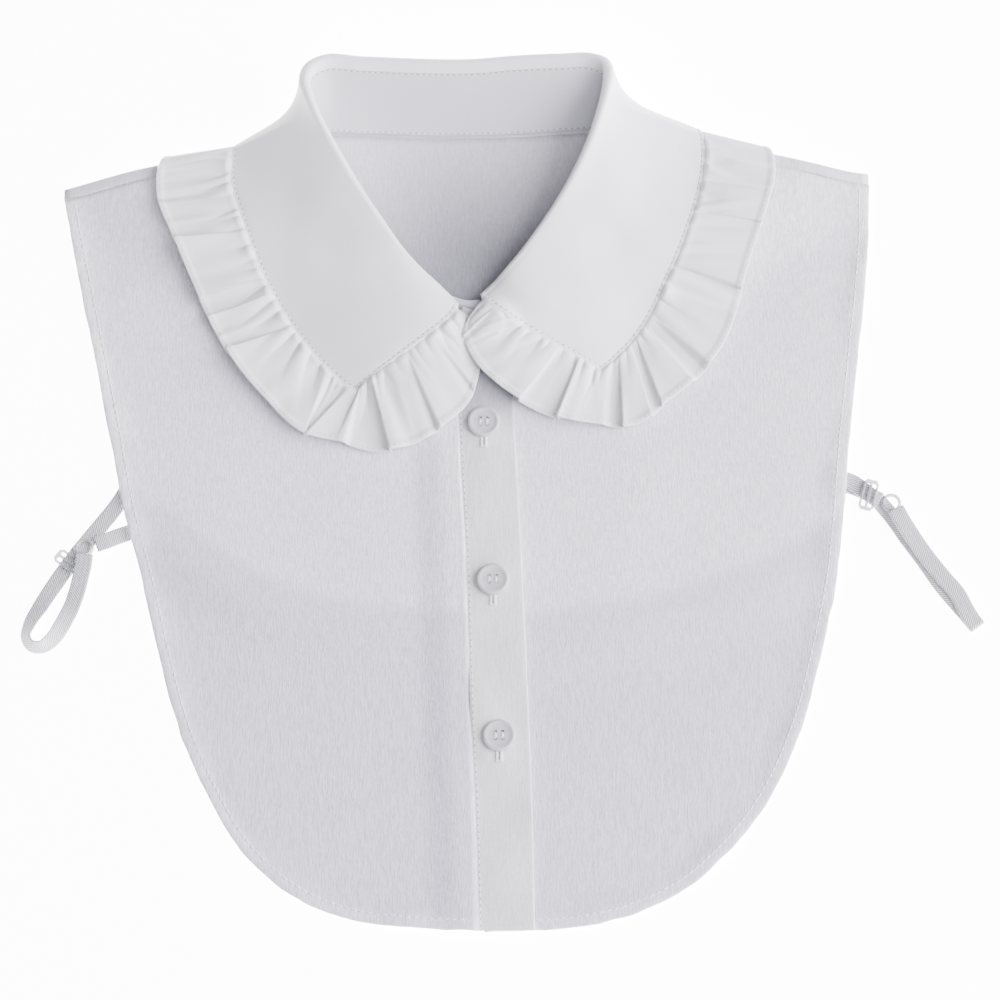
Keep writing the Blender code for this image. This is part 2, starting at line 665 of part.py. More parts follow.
def collar_sections():
    """Points of each collar section: foot, leaf from its inner seam over the roll to the edge."""
    feet, folds, edges = (Rail([row[i] for row in COLLAR]) for i in range(3))
    count = (len(COLLAR) - 1) * COLUMNS_PER_ROW
    rows = [i / COLUMNS_PER_ROW for i in range(count + 1)]
    outs = []
    for row in rows:
        along = folds.at_row(min(row + ALONG, len(COLLAR) - 1)) - folds.at_row(max(row - ALONG, 0))
        up = (folds.at_row(row) - feet.at_row(row)).normalized()
        outs.append(up.cross(along).normalized())
    for _ in range(2):
        outs = [
            (outs[max(i - 1, 0)] + outs[i] * 2 + outs[min(i + 1, count)]).normalized()
            for i in range(count + 1)
        ]
    sections = []
    for row, out in zip(rows, outs):
        foot, fold, edge = feet.at_row(row), folds.at_row(row), edges.at_row(row)
        away = abs(row - BACK_ROW)
        if away > BACK_ROWS:
            cloth = outer_level if row < BACK_ROW else front_level
            foot.z = max(foot.z, cloth(foot.x, foot.y) + FOOT_RISE)
        i = min(int(row), len(COLLAR) - 2)
        roll = COLLAR[i][4] + (COLLAR[i + 1][4] - COLLAR[i][4]) * (row - i)
        up = (fold - foot).normalized()
        out = (out - up * out.dot(up)).normalized()
        inner = fold - (up + out) * roll
        rise = (inner - foot).normalized()
        leaf = [inner - rise * (SEAM_DROP - roll)]
        centre = fold - up * roll
        for k in range(ROLL_STEPS + 1):
            turn = math.pi * k / ROLL_STEPS
            leaf.append(centre - out * roll * math.cos(turn) + up * roll * math.sin(turn))
        start = leaf[-1]
        under = fade((away - UNDER_ROWS) / UNDER_BLEND)
        hold = start - up * (FALL_REACH + (UNDER_REACH - FALL_REACH) * under)
        land = edge.lerp(start, LAND_SHARE[0] + LAND_SHARE[1] * under)
        land.z = edge.z + LAND_RISE * (1.0 - under) * (start.z - edge.z)
        for k in range(1, FALL_STEPS + 1):
            t = k / FALL_STEPS
            leaf.append(
                start * (1 - t) ** 3
                + hold * 3 * (1 - t) ** 2 * t
                + land * 3 * (1 - t) * t**2
                + edge * t**3
            )
        for p in leaf[ROLL_STEPS + 2 :]:
            if away > BACK_ROWS:
                p.z = max(p.z, outer_level(p.x, p.y) + LEAF_REST, over_button(p.x, p.y))
            elif away < UNDER_ROWS and p.y < UNDER_MIDDLE[1]:
                p.z = min(p.z, back_level(p.x, p.y) - LEAF_REST)
            p.z = max(p.z, COLLAR_CLOTH / 2)
        sections.append((foot, rise, leaf))
    return sections


def collar_stand(sections, finish):
    """The band from the neckline up to the leaf's inner seam, with its two lapped ends."""
    rows = 3
    tops = [(foot, leaf[0] - rise * STAND_SEAM) for foot, rise, leaf in sections]
    outer = [(Vector(foot), Vector(top)) for foot, top in OUTER_TAB]
    under = [(Vector(foot), Vector(top)) for foot, top in UNDER_TAB]
    lines = outer + tops + under

    def place(column, row):
        return lines[column][0].lerp(lines[column][1], row / rows)

    return thicken(new_object("collar_stand", sheet(len(lines) - 1, rows, place), finish), COLLAR_CLOTH)


def collar_leaf(sections, finish):
    """The fall of the collar, from its inner seam over the roll to the outer edge."""
    rows = len(sections[0][2]) - 1

    def place(column, row):
        return sections[column][2][row]

    return thicken(new_object("collar_leaf", sheet(len(sections) - 1, rows, place), finish), COLLAR_CLOTH)


class LeafBorder:
    """The leaf's free border: down one front edge, along the outer edge and up the other front."""

    def __init__(self, sections):
        fall = ROLL_STEPS + 1
        self.first = Rail(sections[0][2][fall:])
        self.last = Rail(sections[-1][2][fall:])
        self.outer = [leaf[-1] for foot, rise, leaf in sections]
        self.shares = [share for share, _ in RIGHT_FRONT_RUFFLE]
        self.end_shares = [share for share, _ in reversed(LEFT_FRONT_RUFFLE)]
        rims = [p for _, p in RIGHT_FRONT_RUFFLE]
        rims += [row[3] for row in COLLAR]
        rims += [p for _, p in reversed(LEFT_FRONT_RUFFLE)]
        self.rim = Rail(rims)
        self.rows = len(rims) - 1

    def at_row(self, row):
        """Border point beside a fractional row of the ruffle."""
        front = len(self.shares)
        last = front + len(COLLAR) - 1
        if row < front:
            marks = [*self.shares, 1.0]
            i = min(int(row), front - 1)
            return self.first.at(marks[i] + (marks[i + 1] - marks[i]) * (row - i))
        if row <= last:
            place = (row - front) * COLUMNS_PER_ROW
            i = min(int(place), len(self.outer) - 2)
            return self.outer[i].lerp(self.outer[i + 1], place - i)
        marks = [1.0, *self.end_shares]
        i = min(int(row - last), len(self.end_shares) - 1)
        return self.last.at(marks[i] + (marks[i + 1] - marks[i]) * (row - last - i))


def panel_height(run, start, end, start_fall, end_fall, top):
    """Height of one pressed panel at a length along the outer edge."""
    level = fade((start - run) / start_fall) * fade((run - end) / end_fall)
    inside = min(run - start, end - run) / PANEL_SAG_RUN
    return top * level * (1.0 - PANEL_SAG * (1.0 - fade(inside)))


def ruffle(sections, finish):
    """The gathered strip along the leaf's border, wrapped round the shoulder folds."""
    border = LeafBorder(sections)
    front = len(RIGHT_FRONT_RUFFLE)
    left_turn, right_turn = front + 11.0, front + 21.0
    marks = [k / RUFFLE_SAMPLES for k in range(border.rows * RUFFLE_SAMPLES + 1)]
    runs = lengths([border.at_row(m) for m in marks])
    rim_runs = lengths([border.rim.at_row(m) for m in marks])
    lines = [(row, row) for row in (0.0, left_turn, right_turn, float(border.rows))]
    lines = sorted(lines + [line[:2] for panel in PANELS for line in panel[:2]])
    seam_rows, rim_rows = [line[0] for line in lines], [line[1] for line in lines]
    panels = []
    for first, second, top in PANELS:
        start, end = (between(marks, rim_runs, line[1]) for line in (first, second))
        panels.append((start, end, first[2], second[2], top))
    gathers = round(runs[-1] / GATHER)
    columns = gathers * STEPS_PER_GATHER
    points = []
    for column in range(columns + 1):
        row = between(runs, marks, runs[-1] * column / columns)
        rim_row = between(seam_rows, rim_rows, row)
        near, rim = border.at_row(row), border.rim.at_row(rim_row)
        near = near + (rim - near).normalized() * EDGE_SEAM
        underneath = left_turn < row < right_turn
        turned = min(abs(row - left_turn), abs(row - right_turn))
        settle = 1.0 - fade((turned - TURN_START) / TURN_RUN)
        ends = 1.0 - fade((min(row, border.rows - row) - END_START) / END_RUN)
        pinch = math.sin(math.pi * column / STEPS_PER_GATHER) ** 2 * GATHER_HEIGHT
        if underneath:
            wave = UNDER_WAVE * math.sin(math.pi * column / (STEPS_PER_GATHER * 3)) ** 2
        else:
            run = between(marks, rim_runs, rim_row)
            wave = max(panel_height(run, *panel) for panel in panels)
        line = []
        for share in RUFFLE_ACROSS:
            p = near.lerp(rim, share)
            base = p.z
            if not underneath and settle > 0:
                base = max(base, outer_level(p.x, p.y) + CLOTH + SEAM)
                if row > right_turn:
                    base = max(base, over_button(p.x, p.y))
            if underneath:
                base = max(base, CLOTH / 2)
            p.z = base + settle * (wave * share**0.8 * ends + pinch * (1 - share))
            line.append(p)
        points.append(line)

    def place(column, row):
        return points[column][row]

    bm = sheet(columns, len(RUFFLE_ACROSS) - 1, place)
    return thicken(new_object("ruffle", bm, finish), CLOTH)


def button_mesh():
    """A flat button with a dished middle and four holes, standing on z = 0."""
    bm = bmesh.new()
    profile = (
        (0.0, BUTTON_THICK - BUTTON_SINK),
        (BUTTON_DISH - BUTTON_SINK, BUTTON_THICK - BUTTON_SINK),
        (BUTTON_DISH, BUTTON_THICK),
        (BUTTON_RADIUS - BUTTON_BEVEL, BUTTON_THICK),
        (BUTTON_RADIUS, BUTTON_THICK - BUTTON_BEVEL),
        (BUTTON_RADIUS, BUTTON_BEVEL),
        (BUTTON_RADIUS - BUTTON_BEVEL, 0.0),
        (0.0, 0.0),
    )
    verts = [bm.verts.new((r, 0.0, z)) for r, z in profile]
    edges = [bm.edges.new(pair) for pair in zip(verts, verts[1:])]
    bmesh.ops.spin(
        bm,
        geom=verts + edges,
        cent=(0, 0, 0),
        axis=(0, 0, 1),
        angle=2 * math.pi,
        steps=16,
        use_merge=True,
    )
    bmesh.ops.remove_doubles(bm, verts=bm.verts, dist=0.001)
    bmesh.ops.recalc_face_normals(bm, faces=bm.faces)
    disc = new_object("button_blank", bm, bpy.data.materials["button_resin"])
    drill = bmesh.new()
    for x in (-0.5, 0.5):
        for y in (-0.5, 0.5):
            made = bmesh.ops.create_cone(
                drill, cap_ends=True, segments=6, radius1=BUTTON_HOLE, radius2=BUTTON_HOLE, depth=8.0
            )["verts"]
            bmesh.ops.translate(drill, vec=(x * BUTTON_PITCH, y * BUTTON_PITCH, 1.0), verts=made)
    cutter = new_object("button_drill", drill, bpy.data.materials["button_resin"])
    cut = disc.modifiers.new("holes", "BOOLEAN")
    cut.operation = "DIFFERENCE"
    cut.object = cutter
    bpy.context.view_layer.update()
    scene_graph = bpy.context.evaluated_depsgraph_get()
    mesh = bpy.data.meshes.new_from_object(disc.evaluated_get(scene_graph))
    bpy.data.objects.remove(disc)
    bpy.data.objects.remove(cutter)
    return mesh


def buttons():
    """Three buttons down the placket and one on the stand."""
    mesh = button_mesh()
    on_placket = CLOTH / 2 + SEAM + PLACKET_CLOTH + SEAM
    places = []
    for i, (x, y) in enumerate(PLACKET_BUTTONS):
        places.append(("button_%d" % (i + 1), (x, y, front_level(x, y) + on_placket)))
    places.append(("button_collar", COLLAR_BUTTON))
    for name, place in places:
        thing = bpy.data.objects.new(name, mesh)
        thing.location = Vector(place) * MM
        if name == "button_collar":
            thing.rotation_euler.x = math.radians(COLLAR_BUTTON_TILT)
        bpy.data.collections["false_collar"].objects.link(thing)


def tape(name, table, finish):
    """A flat elastic tape along its middle line, raised on one edge where it is tilted."""
    line = Rail([(x, y, z + TAPE_THICK / 2) for x, y, z, tilt in table])
    columns = (len(table) - 1) * COLUMNS_PER_TAPE_ROW
    points, widths = [], []
    for column in range(columns + 1):
        row = column / COLUMNS_PER_TAPE_ROW
        along = line.at_row(min(row + ALONG, len(table) - 1)) - line.at_row(max(row - ALONG, 0))
        across = Vector((-along.y, along.x, 0.0)) / along.length
        if across.length < 0.5:
            across = widths[-1].copy()
        across.normalize()
        if widths and across.dot(widths[-1]) < 0:
            across.negate()
        i = min(int(row), len(table) - 2)
        tilt = math.radians(table[i][3] + (table[i + 1][3] - table[i][3]) * (row - i))
        raised = Vector((0, 0, TAPE_WIDTH / 2 * math.sin(tilt)))
        points.append(line.at_row(row) + raised)
        widths.append(across * math.cos(tilt) + raised * 2 / TAPE_WIDTH)

    def place(column, row):
        return points[column] + widths[column] * (row - 0.5) * TAPE_WIDTH

    return thicken(new_object(name, sheet(columns, 1, place), finish), TAPE_THICK)


def ring(name, place, finish):
    """A clear plastic ring lying flat."""
    bm = bmesh.new()
    profile = (
        (RING_HOLE, RING_BEVEL),
        (RING_HOLE, RING_THICK - RING_BEVEL),
        (RING_HOLE + RING_BEVEL, RING_THICK),
        (RING_RADIUS - RING_BEVEL, RING_THICK),
        (RING_RADIUS, RING_THICK - RING_BEVEL),
        (RING_RADIUS, RING_BEVEL),
        (RING_RADIUS - RING_BEVEL, 0.0),
        (RING_HOLE + RING_BEVEL, 0.0),
    )
    verts = [bm.verts.new((r, 0.0, z)) for r, z in profile]
    edges = [bm.edges.new(pair) for pair in zip(verts, verts[1:] + verts[:1])]
    bmesh.ops.spin(
        bm, geom=verts + edges, cent=(0, 0, 0), axis=(0, 0, 1), angle=2 * math.pi, steps=16, use_merge=True
    )
    bmesh.ops.remove_doubles(bm, verts=bm.verts, dist=0.001)
    bmesh.ops.recalc_face_normals(bm, faces=bm.faces)
    thing = new_object(name, bm, finish)
    thing.location = Vector(place) * MM
    return thing


def slider(name, place, turn, finish):
    """A clear plastic slider: an oblong plate with two slots."""
    across = (-SLIDER_LONG / 2, -SLOT_LONG / 2, SLOT_LONG / 2, SLIDER_LONG / 2)
    bar, slot = SLOT_BAR / 2, SLOT_BAR / 2 + SLOT_WIDE
    down = (-SLIDER_WIDE / 2, -slot, -bar, bar, slot, SLIDER_WIDE / 2)
    columns, rows = len(across) - 1, len(down) - 1

    def lay(column, row):
        corner = column in (0, columns) and row in (0, rows)
        x, y = across[column], down[row]
        shorter = SLIDER_CORNER if corner else 0.0
        return Vector((x - math.copysign(shorter, x), y - math.copysign(shorter / 2, y), 0.0))

    bm = sheet(columns, rows, lay)
    slots = []
    for face in bm.faces:
        middle = face.calc_center_median()
        if abs(middle.x) < SLOT_LONG / 2 and bar < abs(middle.y) < slot:
            slots.append(face)
    bmesh.ops.delete(bm, geom=slots, context="FACES")
    thing = thicken(new_object(name, bm, finish), SLIDER_THICK)
    thing.location = (Vector(place) + Vector((0, 0, SLIDER_THICK / 2))) * MM
    thing.rotation_euler.z = math.radians(turn)
    return thing


def main():
    for thing in list(bpy.data.objects):
        bpy.data.objects.remove(thing)
    collection = bpy.data.collections.new("false_collar")
    bpy.context.scene.collection.children.link(collection)
    bodice_cloth = material("bodice_cloth", WHITE, 0.85)
    collar_cloth = material("collar_cloth", WHITE, 0.8)
    ruffle_cloth = material("ruffle_cloth", WHITE, 0.8)
    material("button_resin", WHITE, 0.35)
    back_panel(bodice_cloth)
    front_panel("front_right", -1, bodice_cloth)
    front_panel("front_left", 1, bodice_cloth)
    placket(collar_cloth)
    sections = collar_sections()
    collar_stand(sections, collar_cloth)
    collar_leaf(sections, collar_cloth)
    ruffle(sections, ruffle_cloth)
    buttons()
    elastic = material("elastic_tape", WHITE, 0.7)
    clear = material("clear_plastic", CLEAR, 0.15, 0.4)
    tape("strap_back_left", STRAP_BACK_LEFT, elastic)
    tape("strap_front_left", STRAP_FRONT_LEFT, elastic)
    tape("strap_back_right", STRAP_BACK_RIGHT, elastic)
    tape("strap_front_right", STRAP_FRONT_RIGHT, elastic)
    ring("ring_left", RING_LEFT, clear)
    ring("ring_right", RING_RIGHT, clear)
    slider("slider_left", *SLIDER_LEFT, clear)
    slider("slider_right", *SLIDER_RIGHT, clear)


main()
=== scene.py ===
"""Looks of a white false collar laid flat: crepe bodice, smooth rolled collar, gathered ruffle.

The shapes follow the solids' own tables, in millimetres until MM scales them. The picture's left
is -X, the neck is towards +Y and +Z is up from the table.
"""
import bisect
import math
import random

import bmesh
import bpy
from mathutils import Matrix, Vector, noise


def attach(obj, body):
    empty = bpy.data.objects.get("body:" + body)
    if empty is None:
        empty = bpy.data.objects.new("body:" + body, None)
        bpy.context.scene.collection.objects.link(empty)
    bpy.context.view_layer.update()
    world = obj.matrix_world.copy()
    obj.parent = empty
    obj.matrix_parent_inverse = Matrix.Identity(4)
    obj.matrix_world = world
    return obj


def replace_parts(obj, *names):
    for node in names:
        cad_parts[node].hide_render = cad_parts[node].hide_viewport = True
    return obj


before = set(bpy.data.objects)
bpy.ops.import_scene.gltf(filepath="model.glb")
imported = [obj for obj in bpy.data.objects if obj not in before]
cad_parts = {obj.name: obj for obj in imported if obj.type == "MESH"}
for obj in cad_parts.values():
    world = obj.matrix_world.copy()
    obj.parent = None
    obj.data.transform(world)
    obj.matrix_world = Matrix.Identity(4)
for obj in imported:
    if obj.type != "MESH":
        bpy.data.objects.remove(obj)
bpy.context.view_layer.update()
MM = 0.001

# Without a seed, Blender's noise vectors follow the clock
NOISE_SEED = 5
noise.seed_set(NOISE_SEED)

# Camera: a long lens, seventy degrees above the table, 390 mm across the picture
CAMERA_DISTANCE = 1600.0
CAMERA_RISE = 70.0
CAMERA_ACROSS = 390.0
CAMERA_AIM = (0.0, -5.0, 0.0)
SENSOR = 36.0

# Lights: where each shines from, its size in metres and its watts, and the glow round them
KEY_LIGHT = ((0.93, -0.1, 0.42), 3.6, 455.0)
FILL_LIGHT = ((0.1, -0.3, 0.95), 2.4, 55.0)
LIGHT_DISTANCE = 2.5
COOL_LIGHT = (0.965, 0.94, 1.03)
WORLD_GLOW = 0.1
TABLE_GLOW = 12.0
TABLE_HALF = 6.0

# Walls of the cloth
PANEL_WALL = 0.45
STAND_WALL = 0.8
LEAF_WALL = 0.7
PLACKET_WALL = 0.9
RUFFLE_WALL = 0.4

# Levels of the laid bodice, as in the solids
CLOTH = 1.0
COLLAR_CLOTH = 1.2
PLACKET_CLOTH = 1.3
SEAM = 0.3
LAYER = CLOTH + 0.5
UNDER_COLLAR = 4.7
UNDER_MIDDLE = (-14.0, 146.0)
UNDER_HALF = (132.0, 53.0)
UNDER_FADE = 45.0
HEM_DROP_START = 14.0
HEM_DROP = 24.0
NECK_RISE = 22.0
FOLD_RADIUS = LAYER / 2
FLAP = 4.0

# Shoulder fold: rows of its turn, then how far the flap runs on and dips to the seam
TURN_ROWS = 12
FLAP_STEPS = ((1.2, 0.0), (2.8, 0.0), (3.6, 0.1), (FLAP, 0.35))

# Grids of the panels: columns and rows, and how much closer the rows lie near the neck
FRONT_GRID = (150, 96, 1.15)
SHOULDER_COLUMNS = 30
NECK_COLUMNS = 48
BACK_ROWS_DOWN = 60

# Unevenness of ironed cloth: seed of the pattern, size of its waves and height. The two fronts
# have their own seeds, and the placket's waves have a width, a length, a seed and a height.
FRONT_WAVES = (38.0, 0.35)
BACK_WAVES = (9.0, 40.0, 0.2)
LEAF_WAVES = (71.0, 24.0, 1.4)
LEAF_SEAM_WAVES = (33.0, 30.0, 0.3)
PUCKER_SLOW = (51.0, 22.0, 1.5)
PUCKER_QUICK = (57.0, 4.2, 0.34)
PUCKER_ASIDE = (61.0, 7.0, 0.45)
PUCKER_BIAS = 0.4
PUCKER_FADES = (13.0, 7.5, 5.0)
PLACKET_WAVES = (13.0, 24.0, 21.0, 0.8)
PLACKET_SINK = 0.12

# Rows of stitches: pitch, length, width and height of a stitch, and radius of a needle hole
FRONT_HEM_THREAD = (2.9, 2.2, 0.6, 0.55, 0.1)
BACK_HEM_THREAD = (2.9, 2.0, 0.4, 0.36, 0.2)
PLACKET_THREAD = (2.6, 1.5, 0.4, 0.3, 0.32)
LEAF_THREAD = (2.4, 1.5, 0.6, 0.5, 0.55)
STAND_THREAD = (2.4, 1.6, 0.55, 0.5, 0.3)
RUFFLE_THREAD = (2.3, 1.5, 0.36, 0.34, 0.17)

# Collar, as in the solids
SEAM_DROP = 5.5
FALL_REACH = 9.0
UNDER_REACH = 24.0
BACK_ROW = 16.0
BACK_ROWS = 6.0
UNDER_ROWS = 3.5
FOOT_RISE = 0.9
LEAF_REST = (CLOTH + COLLAR_CLOTH) / 2 + SEAM + 0.1
OUTS_PER_ROW = 2

# Collar in the scene only: how it leaves the stand, lands and leans, and its rows
SEAM_SHARES = (0.12, 0.5)
LAND_PULL = (0.35, 0.1)
LAND_SHARE = 0.2
REST_GIVE = 0.15
REST_BLEND = 2.4
UNDER_EASE = 3.0
LEAF_LEAN = 4.0
LEAN_ROWS = 8.0
ROLL_STEPS = 12
FALL_STEPS = 30
FALL_START = ROLL_STEPS + 3
WELT_STEP = 0.2
COLUMNS_PER_ROW = 7
STAND_MARKS = (0.0, 0.02, 0.06, 0.12, 0.25, 0.4, 0.55, 0.7, 0.8, 0.86, 0.89, 0.93, 0.97, 1.0)
STAND_EDGE = 0.6
STAND_STITCHES = (("stand_foot", 1.5), ("stand_top", 12.4))
STAND_BARE = (12, 9)
NECK_MIDDLE = (-14.0, 112.0, 14.0)
EDGE_STEP = 0.03
ROW_GAP = 0.08
SEAM_ROWS = 3.0
LEAF_CLEAR = 0.55

# Buttons
BUTTON_RADIUS = 6.4
BUTTON_THICK = 2.2
BUTTON_DISH = 5.0
BUTTON_DEEP = 0.4
BUTTON_HOLE = 0.7
BUTTON_PITCH = 2.7
PLACKET_BUTTONS = ((-6.4, 25.9), (-2.8, -39.3), (-0.4, -101.7))
COLLAR_BUTTON = (-5.1, 64.2, 7.45)
COLLAR_BUTTON_TILT = 8.0
BUTTON_COVER = 14.0
BUTTON_PRINT = 0.55
PRINT_EDGE = (0.6, 1.6)
BUTTON_PULL = 0.8
STRAND_SHIFTS = (-0.22, 0.0, 0.22)
STRAND_RADIUS = 0.2
STRAND_BOW = 0.75
STRAND_SUNK = 0.6

# Buttonholes: from where to where the worked end runs below the button, and its stitches
HOLE_END = (3.0, 3.2)
SIDE_STITCH = (0.68, 0.24, 0.42)
SIDE_STITCHES = 14
END_STITCH = (0.24, 0.75, 0.34)
END_STITCHES = 5
SIDE_GAP = 0.8
END_PITCH = 0.55
END_DROP = 0.35
THREAD_ABOVE = 0.1
SLIT_HALF = 0.3
SLIT_DEEP = 0.1
SLIT_ABOVE = 0.02

# Outline of the fronts: height on the picture, left edge, right edge
FRONT_SIDES = (
    (105.0, -171.0, 147.0), (84.0, -166.5, 144.9), (50.0, -159.0, 140.7), (17.0, -152.0, 136.6),
    (-10.0, -146.5, 133.9), (-36.0, -139.3, 130.6), (-70.0, -131.0, 123.3), (-99.0, -122.5, 115.0),
    (-124.0, -111.5, 103.5), (-147.0, -97.5, 86.5), (-163.0, -80.0, 67.0), (-173.0, -57.0, 44.0),
    (-176.5, -32.0, 26.0),
)
HEM_BOTTOM = -177.8
LEFT_SHOULDER = (
    (-174.3, 126.2), (-155.2, 130.8), (-135.6, 135.4), (-120.0, 138.6), (-105.0, 140.8),
    (-81.7, 143.0),
)
RIGHT_SHOULDER = (
    (52.0, 149.4), (68.0, 148.6), (81.0, 147.2), (104.0, 141.4), (127.7, 136.0), (140.6, 133.6),
    (147.6, 133.0),
)
BACK_HEM = (
    (-148.5, 6.0), (-125.0, -9.5), (-102.4, -26.4), (-70.0, -40.8), (-33.0, -46.5), (12.0, -47.3),
    (50.0, -42.0), (80.0, -33.8), (105.0, -24.0), (133.2, -5.5),
)

# Placket: height on the picture, stitched edge, free edge
PLACKET = (
    (51.4, -17.6, 4.6), (34.0, -16.8, 5.1), (8.0, -15.6, 6.5), (-20.0, -13.9, 8.0),
    (-52.0, -12.7, 9.3), (-92.0, -11.5, 11.0), (-130.0, -9.6, 12.3), (-177.6, -8.2, 13.1),
)
UNDERLAP = 2.2
HIDDEN_EDGE = 0.2
PLACKET_RISE = 0.5
LAP_STEP = LAYER + (PLACKET_CLOTH - CLOTH) / 2
LAP_START = 6.0
LAP_LENGTH = 14.0
LAP_FADE = 8.0
# Painted shade on the placket's top under the ruffles: how far down it stays full, and how long it
# fades
PLACKET_SHADE = (14.0, 20.0)
PLACKET_ROWS = 130

# Placket from its stitched to its free edge: share of the width and thickness of the wall
PLACKET_MARKS = (
    (0.0, 0.45), (0.012, 0.8), (0.05, 0.75), (0.12, 0.9), (0.25, 0.9), (0.4, 0.9), (0.55, 0.9),
    (0.7, 0.9), (0.82, 0.9), (0.92, 0.95), (0.97, 1.0), (0.99, 0.85), (1.0, 0.4),
)

# Necklines of the fronts, with the cloth's rise towards the collar, and of the back
RIGHT_FRONT_NECK = (
    (-17.9, 51.9), (-25.8, 54.0), (-32.5, 57.1), (-42.1, 63.8), (-53.2, 75.3), (-62.3, 87.8, 0.2),
    (-70.7, 100.1, 0.7), (-77.9, 113.2, 1.4), (-81.5, 127.0, 1.6), (-82.0, 135.0, 0.6),
    (-82.0, 138.0),
)
LEFT_FRONT_NECK = (
    (-15.4, 52.2), (-1.0, 52.6), (8.4, 56.0), (16.2, 62.6), (25.3, 75.8), (33.4, 86.9),
    (40.4, 98.2, 0.4), (46.0, 109.0, 0.9), (49.7, 119.5, 1.4), (51.6, 129.4, 1.6),
    (52.2, 138.5, 0.9), (52.2, 144.4),
)
BACK_NECK = (
    (-76.0, 145.9), (-71.0, 147.9), (-55.0, 148.2), (-30.0, 147.4), (-12.0, 147.4), (6.8, 148.0),
    (24.0, 149.3), (40.5, 149.8), (46.5, 149.5),
)

